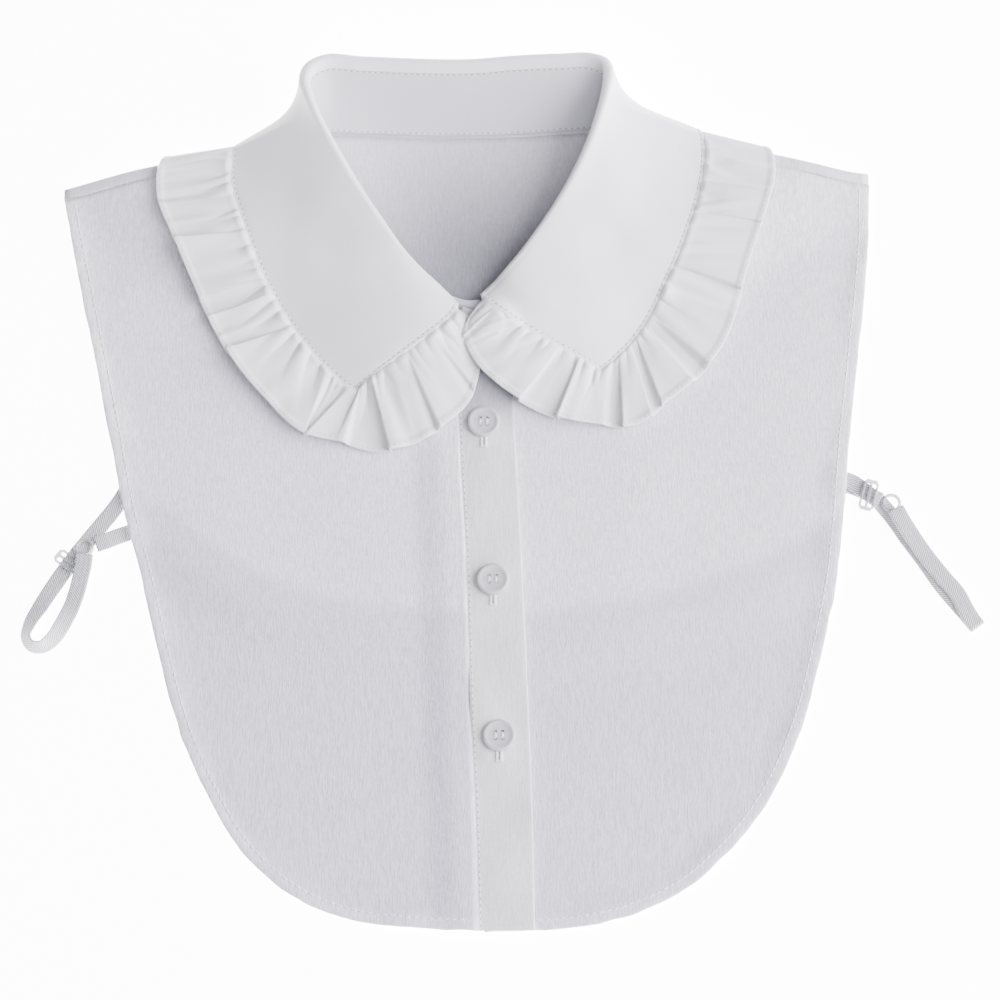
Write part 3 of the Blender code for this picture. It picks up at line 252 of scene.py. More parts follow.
# Collar sections from the right front's end round the back of the neck to the left front's end:
# foot on the neckline, top fold, outer edge of the leaf, outer edge of the ruffle, roll's radius
COLLAR = (
    ((-19.0, 53.2, 4.9), (-16.6, 74.2, 8.5), (-56.5, 39.0, 3.5), (-46.0, 13.3, 3.6), 1.6),
    ((-25.5, 55.0, 4.9), (-20.5, 78.0, 9.8), (-60.5, 40.6, 3.5), (-63.3, 17.2, 3.6), 1.6),
    ((-32.0, 58.0, 5.0), (-24.8, 81.9, 11.4), (-66.1, 45.8, 3.4), (-77.0, 20.6, 3.6), 1.6),
    ((-41.5, 64.6, 5.4), (-31.5, 87.6, 13.8), (-76.5, 57.6, 3.4), (-92.0, 34.8, 3.6), 1.6),
    ((-52.5, 76.0, 6.0), (-38.7, 95.2, 16.5), (-84.2, 68.7, 3.5), (-103.5, 48.8, 3.6), 1.6),
    ((-61.5, 88.4, 7.0), (-46.0, 105.2, 19.2), (-92.0, 82.3, 4.6), (-113.5, 65.5, 3.8), 1.6),
    ((-69.8, 100.5, 7.9), (-53.5, 116.0, 21.7), (-98.4, 97.1, 7.3), (-122.0, 84.5, 4.8), 1.6),
    ((-76.8, 113.5, 8.9), (-61.0, 128.0, 24.5), (-103.9, 113.3, 8.0), (-130.5, 104.5, 7.4), 1.6),
    ((-80.4, 127.0, 9.2), (-68.1, 140.5, 26.5), (-107.8, 127.0, 8.0), (-136.5, 119.5, 8.2), 1.6),
    ((-80.7, 134.5, 8.4), (-72.0, 148.0, 27.0), (-107.7, 135.5, 8.2), (-137.0, 129.0, 8.2), 1.7),
    ((-80.6, 139.5, 7.9), (-75.6, 157.0, 26.6), (-107.0, 141.2, 8.1), (-136.2, 134.8, 8.1), 1.8),
    ((-80.2, 143.6, 7.3), (-77.8, 165.5, 25.5), (-105.4, 144.0, 5.4), (-134.2, 139.2, 5.4), 2.0),
    ((-77.8, 146.8, 6.7), (-76.5, 171.8, 23.8), (-102.8, 141.4, 2.6), (-130.0, 134.8, 2.4), 2.0),
    ((-72.0, 149.1, 6.2), (-71.5, 175.9, 22.1), (-97.0, 135.5, 1.0), (-119.0, 121.0, 0.5), 2.0),
    ((-55.0, 149.2, 6.0), (-54.5, 176.3, 20.5), (-72.0, 128.5, 0.6), (-84.0, 103.0, 0.5), 2.0),
    ((-30.0, 148.4, 5.9), (-30.0, 175.6, 19.7), (-40.0, 126.0, 0.6), (-44.0, 98.5, 0.5), 2.0),
    ((-12.0, 148.4, 5.9), (-12.0, 175.6, 19.5), (-13.0, 125.5, 0.6), (-13.0, 97.5, 0.5), 2.0),
    ((6.8, 149.0, 5.9), (6.8, 177.0, 20.0), (15.0, 127.0, 0.6), (18.0, 99.0, 0.5), 2.0),
    ((24.0, 150.3, 6.0), (24.0, 177.6, 20.5), (50.0, 133.0, 0.6), (60.0, 105.5, 0.5), 2.0),
    ((40.5, 150.8, 6.2), (37.5, 176.9, 21.9), (70.0, 142.0, 1.0), (92.0, 122.5, 0.5), 2.0),
    ((47.4, 150.2, 6.7), (41.3, 174.5, 23.5), (77.0, 147.9, 2.6), (103.6, 138.0, 2.4), 2.0),
    ((50.3, 148.2, 7.4), (42.8, 169.0, 25.2), (80.0, 150.8, 5.4), (107.4, 143.4, 5.4), 2.0),
    ((50.8, 145.0, 8.0), (42.0, 161.5, 26.5), (81.4, 147.6, 8.1), (109.2, 139.6, 8.1), 1.8),
    ((50.9, 140.5, 8.4), (40.2, 153.5, 26.9), (82.2, 142.0, 8.2), (110.0, 134.0, 8.2), 1.7),
    ((50.8, 135.0, 8.8), (38.2, 146.8, 26.7), (81.6, 131.0, 8.1), (109.2, 126.0, 8.2), 1.6),
    ((50.4, 129.5, 9.1), (36.1, 140.7, 26.0), (79.0, 118.5, 8.0), (106.8, 117.0, 8.2), 1.6),
    ((48.6, 119.8, 8.8), (32.5, 132.4, 24.3), (74.7, 105.0, 8.0), (103.5, 106.5, 7.4), 1.6),
    ((45.0, 109.5, 8.0), (27.5, 122.4, 22.2), (70.8, 94.5, 7.3), (99.5, 94.5, 5.8), 1.6),
    ((39.5, 98.8, 7.0), (21.7, 112.6, 20.0), (65.8, 83.5, 4.9), (96.0, 82.0, 4.2), 1.6),
    ((32.5, 87.5, 5.8), (15.0, 102.6, 18.0), (61.0, 73.0, 3.7), (92.5, 68.8, 3.6), 1.6),
    ((24.5, 76.5, 4.7), (8.5, 94.0, 16.0), (55.3, 63.2, 3.4), (87.0, 56.3, 3.6), 1.7),
    ((15.5, 63.5, 3.8), (2.5, 87.2, 13.8), (47.0, 53.5, 3.4), (78.0, 44.5, 3.6), 1.8),
    ((8.0, 57.0, 3.4), (-2.4, 82.6, 10.2), (43.0, 49.6, 3.5), (66.0, 34.0, 3.6), 2.2),
    ((-1.0, 53.6, 3.3), (-7.5, 78.2, 8.5), (39.5, 47.3, 3.5), (52.5, 23.8, 3.6), 2.4),
)
OUTER_TAB = (
    ((6.8, 54.2, 5.1), (6.3, 60.5, 6.1)),
    ((3.5, 53.2, 5.0), (1.5, 68.0, 7.0)),
    ((-5.0, 52.9, 4.9), (-6.0, 72.0, 7.6)),
    ((-11.0, 52.9, 4.9), (-11.0, 72.2, 8.0)),
    ((-15.0, 53.0, 4.9), (-14.6, 73.2, 8.2)),
)
UNDER_TAB = (
    ((-5.0, 53.4, 3.3), (-7.8, 76.5, 7.6)),
    ((-8.5, 53.3, 3.3), (-12.6, 76.2, 7.4)),
    ((-15.4, 53.6, 3.3), (-20.3, 79.0, 6.4)),
)
TAB_DIP = 2.4
TAB_COLUMNS = (24, 8)
BRIDGE_COLUMNS = (8, 6)
TAB_FADE = 5
TAB_BENDS = ((0.86, 0.03), (0.4, 0.4))

# Ruffle along the leaf's front edges, from the roll to the corner: share of the edge, outer edge
RIGHT_FRONT_RUFFLE = (
    (0.02, (-7.8, 66.3, 7.4)), (0.2, (-8.4, 44.6, 5.6)), (0.4, (-11.5, 34.6, 5.2)),
    (0.6, (-21.0, 24.3, 5.0)), (0.8, (-32.5, 16.8, 4.2)),
)
LEFT_FRONT_RUFFLE = (
    (0.02, (-12.5, 66.8, 9.2)), (0.1, (-14.6, 61.5, 8.8)), (0.2, (-12.2, 53.6, 7.8)),
    (0.4, (3.5, 36.6, 5.6)), (0.6, (21.0, 27.4, 4.4)), (0.8, (38.0, 24.6, 3.8)),
)

# Pressed folds of the ruffle. Each is a panel raised between two fold lines. A line is its row
# at the seam and at the hem, the width of the fall beside it and its height at the hem. A short
# fall is a sharp crease.
PANELS = (
    ((0.9, 1.0, 3.0, 0.6), (1.5, 1.5, 2.5, 1.4)), ((2.0, 2.1, 4.0, 0.8), (2.7, 3.2, 2.0, 2.2)),
    ((3.1, 3.6, 6.0, 0.8), (4.38, 4.68, 1.0, 2.8)), ((4.9, 5.9, 3.0, 2.4), (5.5, 6.8, 1.4, 3.2)),
    ((7.22, 7.04, 1.0, 2.8), (8.74, 9.34, 0.8, 4.2)),
    ((9.3, 9.75, 2.0, 1.0), (9.75, 10.15, 1.6, 1.8)),
    ((10.12, 10.68, 1.2, 2.0), (11.46, 11.8, 0.8, 4.0)),
    ((12.0, 12.3, 2.0, 1.0), (12.5, 12.8, 3.0, 2.2)),
    ((13.0, 13.2, 2.5, 1.2), (14.2, 14.3, 5.0, 2.0)),
    ((28.3, 28.4, 4.0, 1.8), (29.1, 29.2, 2.0, 2.0)),
    ((29.5, 29.6, 3.0, 3.0), (30.32, 30.58, 1.2, 2.4)),
    ((30.8, 31.1, 5.0, 1.8), (32.3, 32.92, 0.8, 4.0)),
    ((33.2, 33.9, 4.0, 1.6), (34.2, 35.5, 3.5, 3.0)),
    ((34.7, 36.2, 2.5, 2.4), (35.2, 37.1, 0.9, 3.2)),
    ((35.5, 37.6, 1.6, 2.6), (35.95, 38.2, 1.2, 2.8)),
    ((37.2, 38.9, 4.0, 1.6), (38.74, 39.84, 0.8, 4.0)),
    ((39.52, 40.82, 0.8, 3.8), (41.2, 42.2, 6.0, 1.8)),
    ((42.5, 42.9, 1.2, 1.6), (42.9, 43.2, 3.0, 0.8)),
)
PANEL_LEAN = 1.6
LEAN_REACH = 5.0
SHARP_FALL = 1.7
RUFFLE_TURNS = (11.0, 21.0)
RUFFLE_COLUMN = 0.45
RUFFLE_BODY = 24
BODY_SPREAD = 1.25
RISE_POWER = 0.75
TURN_FADE = (0.6, 1.2)
END_FADE = 1.2
EDGE_FADE = 2.0
MARKS_PER_ROW = 24
TUCK = (-2.2, -0.9, 0.0)
GATHER_PITCH = (2.8, 7.5)
GATHER_HEIGHT = (0.16, 0.70)
GATHER_REACH = (4.0, 13.0)
GATHER_SLANT = 0.3
GATHER_TOP = 0.7
GATHER_DYING = 1.4
GATHER_SINK = (0.6, 1.8)
PLEATS_WITHIN = 16.0
STREAK = (4.5, 26.0, 0.8)
UNDER_WAVE = 1.6
UNDER_PITCH = 9.0
SEAM_RISE = 0.45
SEAM_FADE = (0.6, 2.4)
STREAK_START = 2.5
TUCK_DROP = 0.5

# Hems: distance from the edge and thickness of the wall
PANEL_HEM = (
    (6.0, PANEL_WALL), (4.9, 0.7), (4.0, 0.6), (3.2, 0.8), (1.6, 0.85), (0.4, 0.8), (0.0, 0.5),
)
RUFFLE_HEM = ((2.5, RUFFLE_WALL), (2.2, 0.75), (1.5, 0.6), (0.9, 0.8), (0.3, 0.8), (0.0, 0.5))
LEAF_WELT = ((3.0, LEAF_WALL), (2.2, 0.65), (1.6, 0.35), (1.15, 1.2), (0.6, 1.6), (0.0, 0.7))
HEM_STITCH = 4.0
RUFFLE_STITCH = 1.5
LEAF_STITCH = 1.6

# Stitches: how far pad and needle hole stand out of the cloth, and the pull of the thread
PAD_ABOVE = 0.1
HOLE_ABOVE = 0.01
HOLE_HEIGHT = 0.08
HOLE_PULL = 1.3

# The mask of layers and painted shade: its change at the back hem, the paler hem, and the painted shade
# in the neck with its middle, its two half lengths, its strength and the even part in its middle
LINED_FADE = 7.0
HEM_PALE = 0.7
HEM_PALE_EDGE = (4.3, 1.2)
NECK_SHADE = (-8.0, 76.0, 72.0, 78.0)
NECK_SHADE_STRENGTH = 1.6
NECK_EVEN = 0.15

# Side tapes: middle line from the garment outwards, and where they aren't 0 the height of the
# tape's lower side and its tilt
STRAP_BACK_LEFT = (
    (-140.7, 8.2), (-143.7, 2.4), (-148.5, -6.4), (-154.1, -14.3), (-160.0, -22.1), (-166.0, -30.4),
    (-171.8, -39.4), (-177.4, -49.2, 0.0, 12), (-181.4, -57.3, 0.0, 35), (-182.3, -62.4, 0.0, 55),
    (-180.2, -65.8, 0.0, 62), (-176.3, -66.3, 0.0, 60), (-172.4, -63.2, 0.0, 42),
    (-168.6, -56.5, 0.0, 18), (-165.4, -49.0, 0.2), (-163.2, -42.2, 1.4), (-162.0, -37.5, 2.8),
    (-161.2, -33.5, 3.0), (-160.8, -28.6, 3.0),
)
STRAP_FRONT_LEFT = (
    (-140.5, -17.6), (-148.6, -20.5, 0.4), (-152.4, -22.4, 1.2), (-156.9, -24.2, 1.5),
)
STRAP_BACK_RIGHT = (
    (131.8, 1.4), (137.6, 0.2), (141.4, -1.4), (144.5, -3.2), (147.6, -5.8), (150.7, -9.6),
    (154.3, -14.8), (158.1, -20.9), (162.4, -27.2), (166.3, -33.2), (170.3, -39.5), (175.6, -46.6),
    (180.2, -52.4), (183.0, -56.1), (183.6, -56.9), (183.88, -57.27, 0.19), (183.99, -57.42, 0.65),
    (183.88, -57.27, 1.11), (183.6, -56.9, 1.3), (183.0, -56.1, 1.3), (180.2, -51.4, 1.3),
    (176.5, -43.8, 1.3), (172.1, -38.2, 1.3), (167.8, -32.4, 1.3), (163.3, -25.9, 1.5),
    (159.2, -19.4, 2.2), (156.0, -14.0, 2.9), (153.9, -9.8, 3.0),
)
STRAP_FRONT_RIGHT = (
    (132.0, 3.6, 1.5), (137.6, 1.5, 1.5), (140.4, -0.5, 1.5), (144.0, -3.5, 1.5),
    (148.0, -6.0, 1.5),
)
TAPE_WIDTH = 6.5
TAPE_THICK = 1.0
TAPE_STEPS = 8
TAPE_BUMPS = ((-144.0, -18.8, 1.0), (133.0, 2.6, 0.9))
TAPE_BUMP_REACH = 11.0

# Tape from edge to edge: share of the width and thickness of the wall
TAPE_MARKS = (
    (0.0, 0.45), (0.03, 0.8), (0.12, 0.9), (0.3, 0.85), (0.5, 0.85), (0.7, 0.85), (0.88, 0.9),
    (0.97, 0.8), (1.0, 0.45),
)

# Adjusters
RING_RADIUS = 3.9
RING_HOLE = 2.5
RING_THICK = 1.4
RING_SECTION = 14
RING_LEFT = (-161.3, -25.5, 1.3)
RING_RIGHT = (152.4, -6.9, 1.3)
SLIDER_LONG = 12.8
SLIDER_WIDE = 6.0
SLIDER_THICK = 1.3
SLIDER_ROUND = 0.28
SLOT_LONG = 10.0
SLOT_WIDE = 1.4
SLOT_BAR = 1.2
SLIDER_CORNER = 0.9
SLIDER_LEFT = ((-166.6, -31.6, 1.3), -36.0)
SLIDER_RIGHT = ((143.5, -4.2, 2.8), 75.0)

# Samples of a smooth curve between two rows of its table
SAMPLES_PER_ROW = 16

# The back's sides follow the fronts' down to this height
BACK_SIDE_END = 10.0


def fade(t):
    """1 at t <= 0, falling smoothly to 0 at t >= 1."""
    t = min(max(t, 0.0), 1.0)
    return 1.0 - t * t * (3.0 - 2.0 * t)


def soft_max(a, b, blend=0.5):
    """The larger of two heights, with the corner rounded."""
    return (a + b + math.hypot(a - b, blend)) / 2


def lengths(points):
    """Length along a line up to each of its points."""
    runs = [0.0]
    for a, b in zip(points, points[1:]):
        runs.append(runs[-1] + (b - a).length)
    return runs


class Rail:
    """A smooth curve through the rows of a table."""

    def __init__(self, points):
        self.points = [Vector((p[0], p[1], p[2] if len(p) > 2 else 0.0)) for p in points]
        steps = list(zip(self.points, self.points[1:]))
        self.chords = [(b - a).length for a, b in steps]
        ways = [(b - a) / chord for (a, b), chord in zip(steps, self.chords)]
        self.slopes = [ways[0]]
        for i in range(1, len(ways)):
            near, far = self.chords[i - 1], self.chords[i]
            self.slopes.append((ways[i - 1] * far + ways[i] * near) / (near + far))
        self.slopes.append(ways[-1])
        marks = range(len(ways) * SAMPLES_PER_ROW + 1)
        self.samples = [self.at_row(k / SAMPLES_PER_ROW) for k in marks]
        self.runs = lengths(self.samples)

    def at_row(self, row):
        """Point at a fractional row of the table."""
        i = min(max(int(row), 0), len(self.points) - 2)
        t = row - i
        chord = self.chords[i]
        return (
            self.points[i] * (2 * t**3 - 3 * t**2 + 1)
            + self.slopes[i] * chord * (t**3 - 2 * t**2 + t)
            + self.points[i + 1] * (3 * t**2 - 2 * t**3)
            + self.slopes[i + 1] * chord * (t**3 - t**2)
        )

    def at(self, share):
        """Point at a share of the whole length."""
        goal = share * self.runs[-1]
        k = min(max(bisect.bisect_left(self.runs, goal) - 1, 0), len(self.runs) - 2)
        span = self.runs[k + 1] - self.runs[k]
        return self.at_row((k + (goal - self.runs[k]) / span) / SAMPLES_PER_ROW)


def across_picture(points, key, value):
    """Samples of a curve as two lists for interpolation, sorted by one coordinate."""
    samples = sorted(Rail(points).samples, key=lambda p: p[key])
    return [p[key] for p in samples], [p[value] for p in samples]


def read(line, x):
    """Value of a sampled line at x, held at its ends."""
    xs, ys = line
    i = min(max(bisect.bisect_right(xs, x) - 1, 0), len(xs) - 2)
    share = min(max((x - xs[i]) / (xs[i + 1] - xs[i]), 0.0), 1.0)
    return ys[i] + (ys[i + 1] - ys[i]) * share


HEM_LINE = across_picture(BACK_HEM, 0, 1)
STITCHED_LINE = across_picture([(left, y) for y, left, right in PLACKET], 1, 0)
FREE_LINE = across_picture([(right, y) for y, left, right in PLACKET], 1, 0)


def lift(x, y):
    """How far the collar lying underneath raises the bodice."""
    across = (x - UNDER_MIDDLE[0]) / UNDER_HALF[0]
    along = (y - UNDER_MIDDLE[1]) / UNDER_HALF[1]
    spread = max(math.hypot(across, along), 0.01)
    reach = math.hypot(x - UNDER_MIDDLE[0], y - UNDER_MIDDLE[1])
    return UNDER_COLLAR * fade(reach * (1.0 - 1.0 / spread) / UNDER_FADE)


def back_level(x, y):
    """Middle of the back panel's wall."""
    return CLOTH / 2 + lift(x, y)


def front_level(x, y):
    """Middle of a front's wall: on the back panel, and on the table below the back hem."""
    on_back = fade((read(HEM_LINE, x) - HEM_DROP_START - y) / HEM_DROP)
    return back_level(x, y) + LAYER * on_back


def from_button(x, y):
    """Distance from the middle of the stand's button."""
    return math.hypot(x - COLLAR_BUTTON[0], y - COLLAR_BUTTON[1])


def over_button(x, y):
    """Middle of cloth that lies on the stand's button."""
    slope = math.tan(math.radians(COLLAR_BUTTON_TILT))
    top = COLLAR_BUTTON[2] + BUTTON_THICK + slope * (y - COLLAR_BUTTON[1]) + SEAM + COLLAR_CLOTH / 2
    return top * fade((from_button(x, y) - BUTTON_RADIUS - 1.0) / BUTTON_COVER)


def button_print(x, y):
    """Step that the stand's button presses up through the cloth lying on it."""
    return BUTTON_PRINT * fade((from_button(x, y) - BUTTON_RADIUS + PRINT_EDGE[0]) / PRINT_EDGE[1])


def outer_level(x, y):
    """Middle of the uppermost front, which is raised at the placket's lap."""
    height = min(max(y, HEM_BOTTOM), PLACKET[0][0])
    on_lap = fade((read(STITCHED_LINE, height) - LAP_START - x) / LAP_LENGTH)
    return front_level(x, y) + LAP_STEP * on_lap * fade((x - read(FREE_LINE, height)) / LAP_FADE)


def ripple(x, y, seed, size, height):
    """Small unevenness of cloth that has been ironed and laid down."""
    return noise.noise(Vector((x / size, y / size, seed))) * height


def linear(code):
    """A colour given as sRGB hex, in linear values."""
    parts = [int(code[i : i + 2], 16) / 255 for i in (1, 3, 5)]
    return tuple(c / 12.92 if c <= 0.04045 else ((c + 0.055) / 1.055) ** 2.4 for c in parts)


def between(deep, pale):
    """Settings for a mix of two colours."""
    return {"data_type": "RGBA", 6: (*linear(deep), 1), 7: (*linear(pale), 1)}


def add(tree, kind, settings=None, links=None):
    """A node with its settings and links. A link is input name: node, or (node, output name)."""
    node = tree.nodes.new("ShaderNode" + kind)
    for key, value in (settings or {}).items():
        if isinstance(key, int) or key in node.inputs:
            node.inputs[key].default_value = value
        else:
            setattr(node, key, value)
    for key, source in (links or {}).items():
        source, output = source if isinstance(source, tuple) else (source, 0)
        tree.links.new(source.outputs[output], node.inputs[key])
    return node


def new_material(name, **inputs):
    """A material with its main shader, and the shader's constant inputs."""
    finish = bpy.data.materials.new(name)
    finish.use_nodes = True
    tree = finish.node_tree
    shader = tree.nodes["Principled BSDF"]
    for key, value in inputs.items():
        shader.inputs[key.replace("_", " ")].default_value = value
    return finish, tree, shader


def crepe(name, pale, deep, layer_and_shade_tone, slubs, bump):
    """Thin cotton crepe: crinkled yarns along the warp, which runs down the picture.

    Real threads are 0.25 mm apart, too fine to show, so the crinkles are drawn about 0.5 mm wide
    and 2 mm long, with longer slubs among them. Where the mask is 0 the cloth takes its greyer
    third colour: on the fronts one layer lies alone there; on the back and the placket it is painted
    shade, deep in the neck and under the ruffles.
    """
    finish, tree, shader = new_material(name, Roughness=0.85, Sheen_Weight=0.15, Sheen_Roughness=0.6)
    where = add(tree, "TexCoord")
    layers = []
    for scale, detail in ((slubs, 2.0), ((2300.0, 620.0, 900.0), 1.0), ((24.0, 18.0, 20.0), 2.0)):
        stretch = add(tree, "Mapping", {"Scale": scale}, {"Vector": (where, "Object")})
        layers.append(add(tree, "TexNoise", {"Scale": 1.0, "Detail": detail}, {"Vector": stretch}))
    slub, crinkle, cloud = layers
    yarn = add(tree, "Math", {"operation": "MULTIPLY_ADD", 1: 0.8}, {0: crinkle, 2: slub})
    tone = add(tree, "MapRange", {"From Min": 0.66, "From Max": 1.14}, {"Value": yarn})
    colour = add(tree, "Mix", between(deep, pale), {"Factor": tone})
    mask = add(tree, "Attribute", {"attribute_name": "layers_and_shade"})
    from_layer_and_shade_tone = {**between(layer_and_shade_tone, "#FFFFFF"), "clamp_factor": False}
    layer_and_shade_tint = add(tree, "Mix", from_layer_and_shade_tone, {"Factor": (mask, "Fac")})
    multiply = {"data_type": "RGBA", "blend_type": "MULTIPLY", "Factor": 1.0}
    tinted = add(tree, "Mix", multiply, {6: (colour, 2), 7: (layer_and_shade_tint, 2)})
    faint = {"From Min": 0.3, "From Max": 0.7, "To Min": 0.96}
    shade = add(tree, "MapRange", faint, {"Value": cloud})
    toned = add(tree, "VectorMath", {"operation": "SCALE"}, {"Vector": (tinted, 2), "Scale": shade})
    tree.links.new(toned.outputs[0], shader.inputs["Base Color"])
    relief = add(tree, "Bump", {"Strength": bump, "Distance": 0.0003}, {"Height": yarn})
    tree.links.new(relief.outputs[0], shader.inputs["Normal"])
    return finish


def poplin(name, pale, deep, roughness, sheen, bump):
    """Smooth close cotton poplin on the piece's own UV map, in millimetres.

    Real threads are 0.2 mm apart; the weave is drawn at 0.5 mm so that it still shows as a
    faint grain. Pressing leaves it smoother than the crepe, with a soft sheen.
    """
    finish, tree, shader = new_material(
        name, Roughness=roughness, Sheen_Weight=sheen, Sheen_Roughness=0.4
    )
    where = add(tree, "UVMap", {"uv_map": "cloth"})
    weave = {"Scale": 0.32, "Distortion": 0.6, "Detail": 1.0, "Detail Scale": 2.0}
    warp = add(tree, "TexWave", weave, {"Vector": where})
    weft = add(tree, "TexWave", {**weave, "bands_direction": "Y"}, {"Vector": where})
    cloud = add(tree, "TexNoise", {"Scale": 0.05, "Detail": 3.0}, {"Vector": where})
    colour = add(tree, "Mix", between(deep, pale), {"Factor": cloud})
    tree.links.new(colour.outputs[2], shader.inputs["Base Color"])
    height = add(tree, "Math", {"operation": "ADD"}, {0: (warp, "Fac"), 1: (weft, "Fac")})
    relief = add(tree, "Bump", {"Strength": bump, "Distance": 0.00005}, {"Height": height})
    tree.links.new(relief.outputs[0], shader.inputs["Normal"])
    return finish


def elastic_tape():
    """Woven elastic: slanting ribs under 1 mm apart, a matt grey-white with painted shade in the
    furrows.
    """
    finish, tree, shader = new_material("woven_elastic", Roughness=0.8, Sheen_Weight=0.2)
    where = add(tree, "UVMap", {"uv_map": "cloth"})
    turn = add(tree, "Mapping", {"Rotation": (0, 0, math.radians(38))}, {"Vector": where})
    ribs = add(tree, "TexWave", {"Scale": 0.4, "Distortion": 0.5}, {"Vector": turn})
    edge = {"Scale": 0.17, "Distortion": 0.2, "bands_direction": "Y"}
    selvedge = add(tree, "TexWave", edge, {"Vector": where})
    halved = {"operation": "MULTIPLY_ADD", 1: 0.5}
    both = add(tree, "Math", halved, {0: (selvedge, "Fac"), 2: (ribs, "Fac")})
    colour = add(tree, "Mix", between("#8A8A90", "#DCDCDF"), {"Factor": (ribs, "Fac")})
    tree.links.new(colour.outputs[2], shader.inputs["Base Color"])
    relief = add(tree, "Bump", {"Strength": 0.6, "Distance": 0.0002}, {"Height": both})
    tree.links.new(relief.outputs[0], shader.inputs["Normal"])
    return finish


def clouded(name, deep, pale, scale, painted=("Base Color",), **inputs):
    """A material of two near shades that pass into each other in small clouds."""
    finish, tree, shader = new_material(name, **inputs)
    where = add(tree, "TexCoord")
    cloud = add(tree, "TexNoise", {"Scale": scale}, {"Vector": (where, "Object")})
    colour = add(tree, "Mix", between(deep, pale), {"Factor": cloud})
    for socket in painted:
        tree.links.new(colour.outputs[2], shader.inputs[socket])
    return finish


def sewing_thread():
    """Spun polyester thread: a soft lustre and a fine slanting twist."""
    return clouded("sewing_thread", "#DCDCDF", "#F4F4F4", 2500.0, Roughness=0.55, Sheen_Weight=0.3)


def button_resin():
    """Polyester resin, turned and tumbled: milky, with a soft gloss and faint clouds inside."""
    milky = {"Subsurface_Weight": 0.15, "Subsurface_Radius": (0.001,) * 3, "Subsurface_Scale": 1.0}
    return clouded("button_resin", "#B2B2B6", "#BEBEC2", 350.0, Roughness=0.3, IOR=1.54, **milky)


def clear_plastic():
    """Moulded clear nylon: glossy and half see-through, milky grey where it is thick."""
    glossy = {"Roughness": 0.15, "IOR": 1.53, "Transmission_Weight": 0.45}
    return clouded("clear_nylon", "#B4B6B9", "#C6C8CA", 400.0, **glossy)


def seam_shade():
    """Painted shade: dark cloth standing in for the shade in the depth of a needle hole and between a
    buttonhole's lips.
    """
    return clouded("shaded_hole", "#7E7E84", "#98989D", 900.0, Roughness=1.0)


def floor_paint():
    """Matt white studio table with a barely uneven coat, lit from within to clear white."""
    painted = ("Base Color", "Emission Color")
    glow = {"Roughness": 0.95, "Emission_Strength": TABLE_GLOW}
    return clouded("white_table", "#F7F7F7", "#FAFAFA", 3.0, painted, **glow)


# Third colours, where the mask is 0: on the fronts a single layer lies alone; on the back and the
# placket they are painted shade.
CREPE = crepe("cotton_crepe", "#EDECF2", "#CFCED7", "#E9E9ED", (1300, 200, 900), 0.5)
# The back's crepe is greyer than the fronts' for its single layer and as painted shade in the neck; its
# third colour is painted shade deep in the neck.
LINING = crepe("cotton_crepe_back", "#DEDDE2", "#CAC9CF", "#CACACC", (1300, 200, 900), 0.3)
# The placket's third colour is painted shade at its top, under the ruffles.
BAND = crepe("cotton_crepe_double", "#DFDFE1", "#CFCFD2", "#C0C0C5", (1300, 160, 900), 0.3)
COLLAR_POPLIN = poplin("cotton_poplin_collar", "#EAEAEC", "#E4E4E7", 0.7, 0.2, 0.25)
# Painted shade: the stand is the same poplin as the leaf, drawn darker for the shade inside the neck.
SHADED_STAND_POPLIN = poplin("cotton_poplin_stand_shaded", "#D0D0D5", "#CACAD0", 0.7, 0.2, 0.25)
RUFFLE_POPLIN = poplin("cotton_poplin_ruffle", "#E9E9EB", "#E3E3E6", 0.6, 0.25, 0.2)
THREAD = sewing_thread()
SHADE = seam_shade()
RESIN = button_resin()
ELASTIC = elastic_tape()
CLEAR = clear_plastic()


def to_scene(name, bm):
    """Puts a mesh into the scene."""
    mesh = bpy.data.meshes.new(name)
    bm.to_mesh(mesh)
    bm.free()
    thing = bpy.data.objects.new(name, mesh)
    bpy.context.scene.collection.objects.link(thing)
    return thing


def finish_mesh(name, bm, material, smooth=True):
    """Puts a mesh made in millimetres into the scene, riding on the collar."""
    bmesh.ops.scale(bm, vec=(MM, MM, MM), verts=bm.verts)
    for face in bm.faces:
        face.smooth = smooth
    thing = to_scene(name, bm)
    thing.data.materials.append(material)
    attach(thing, "root")
    return thing


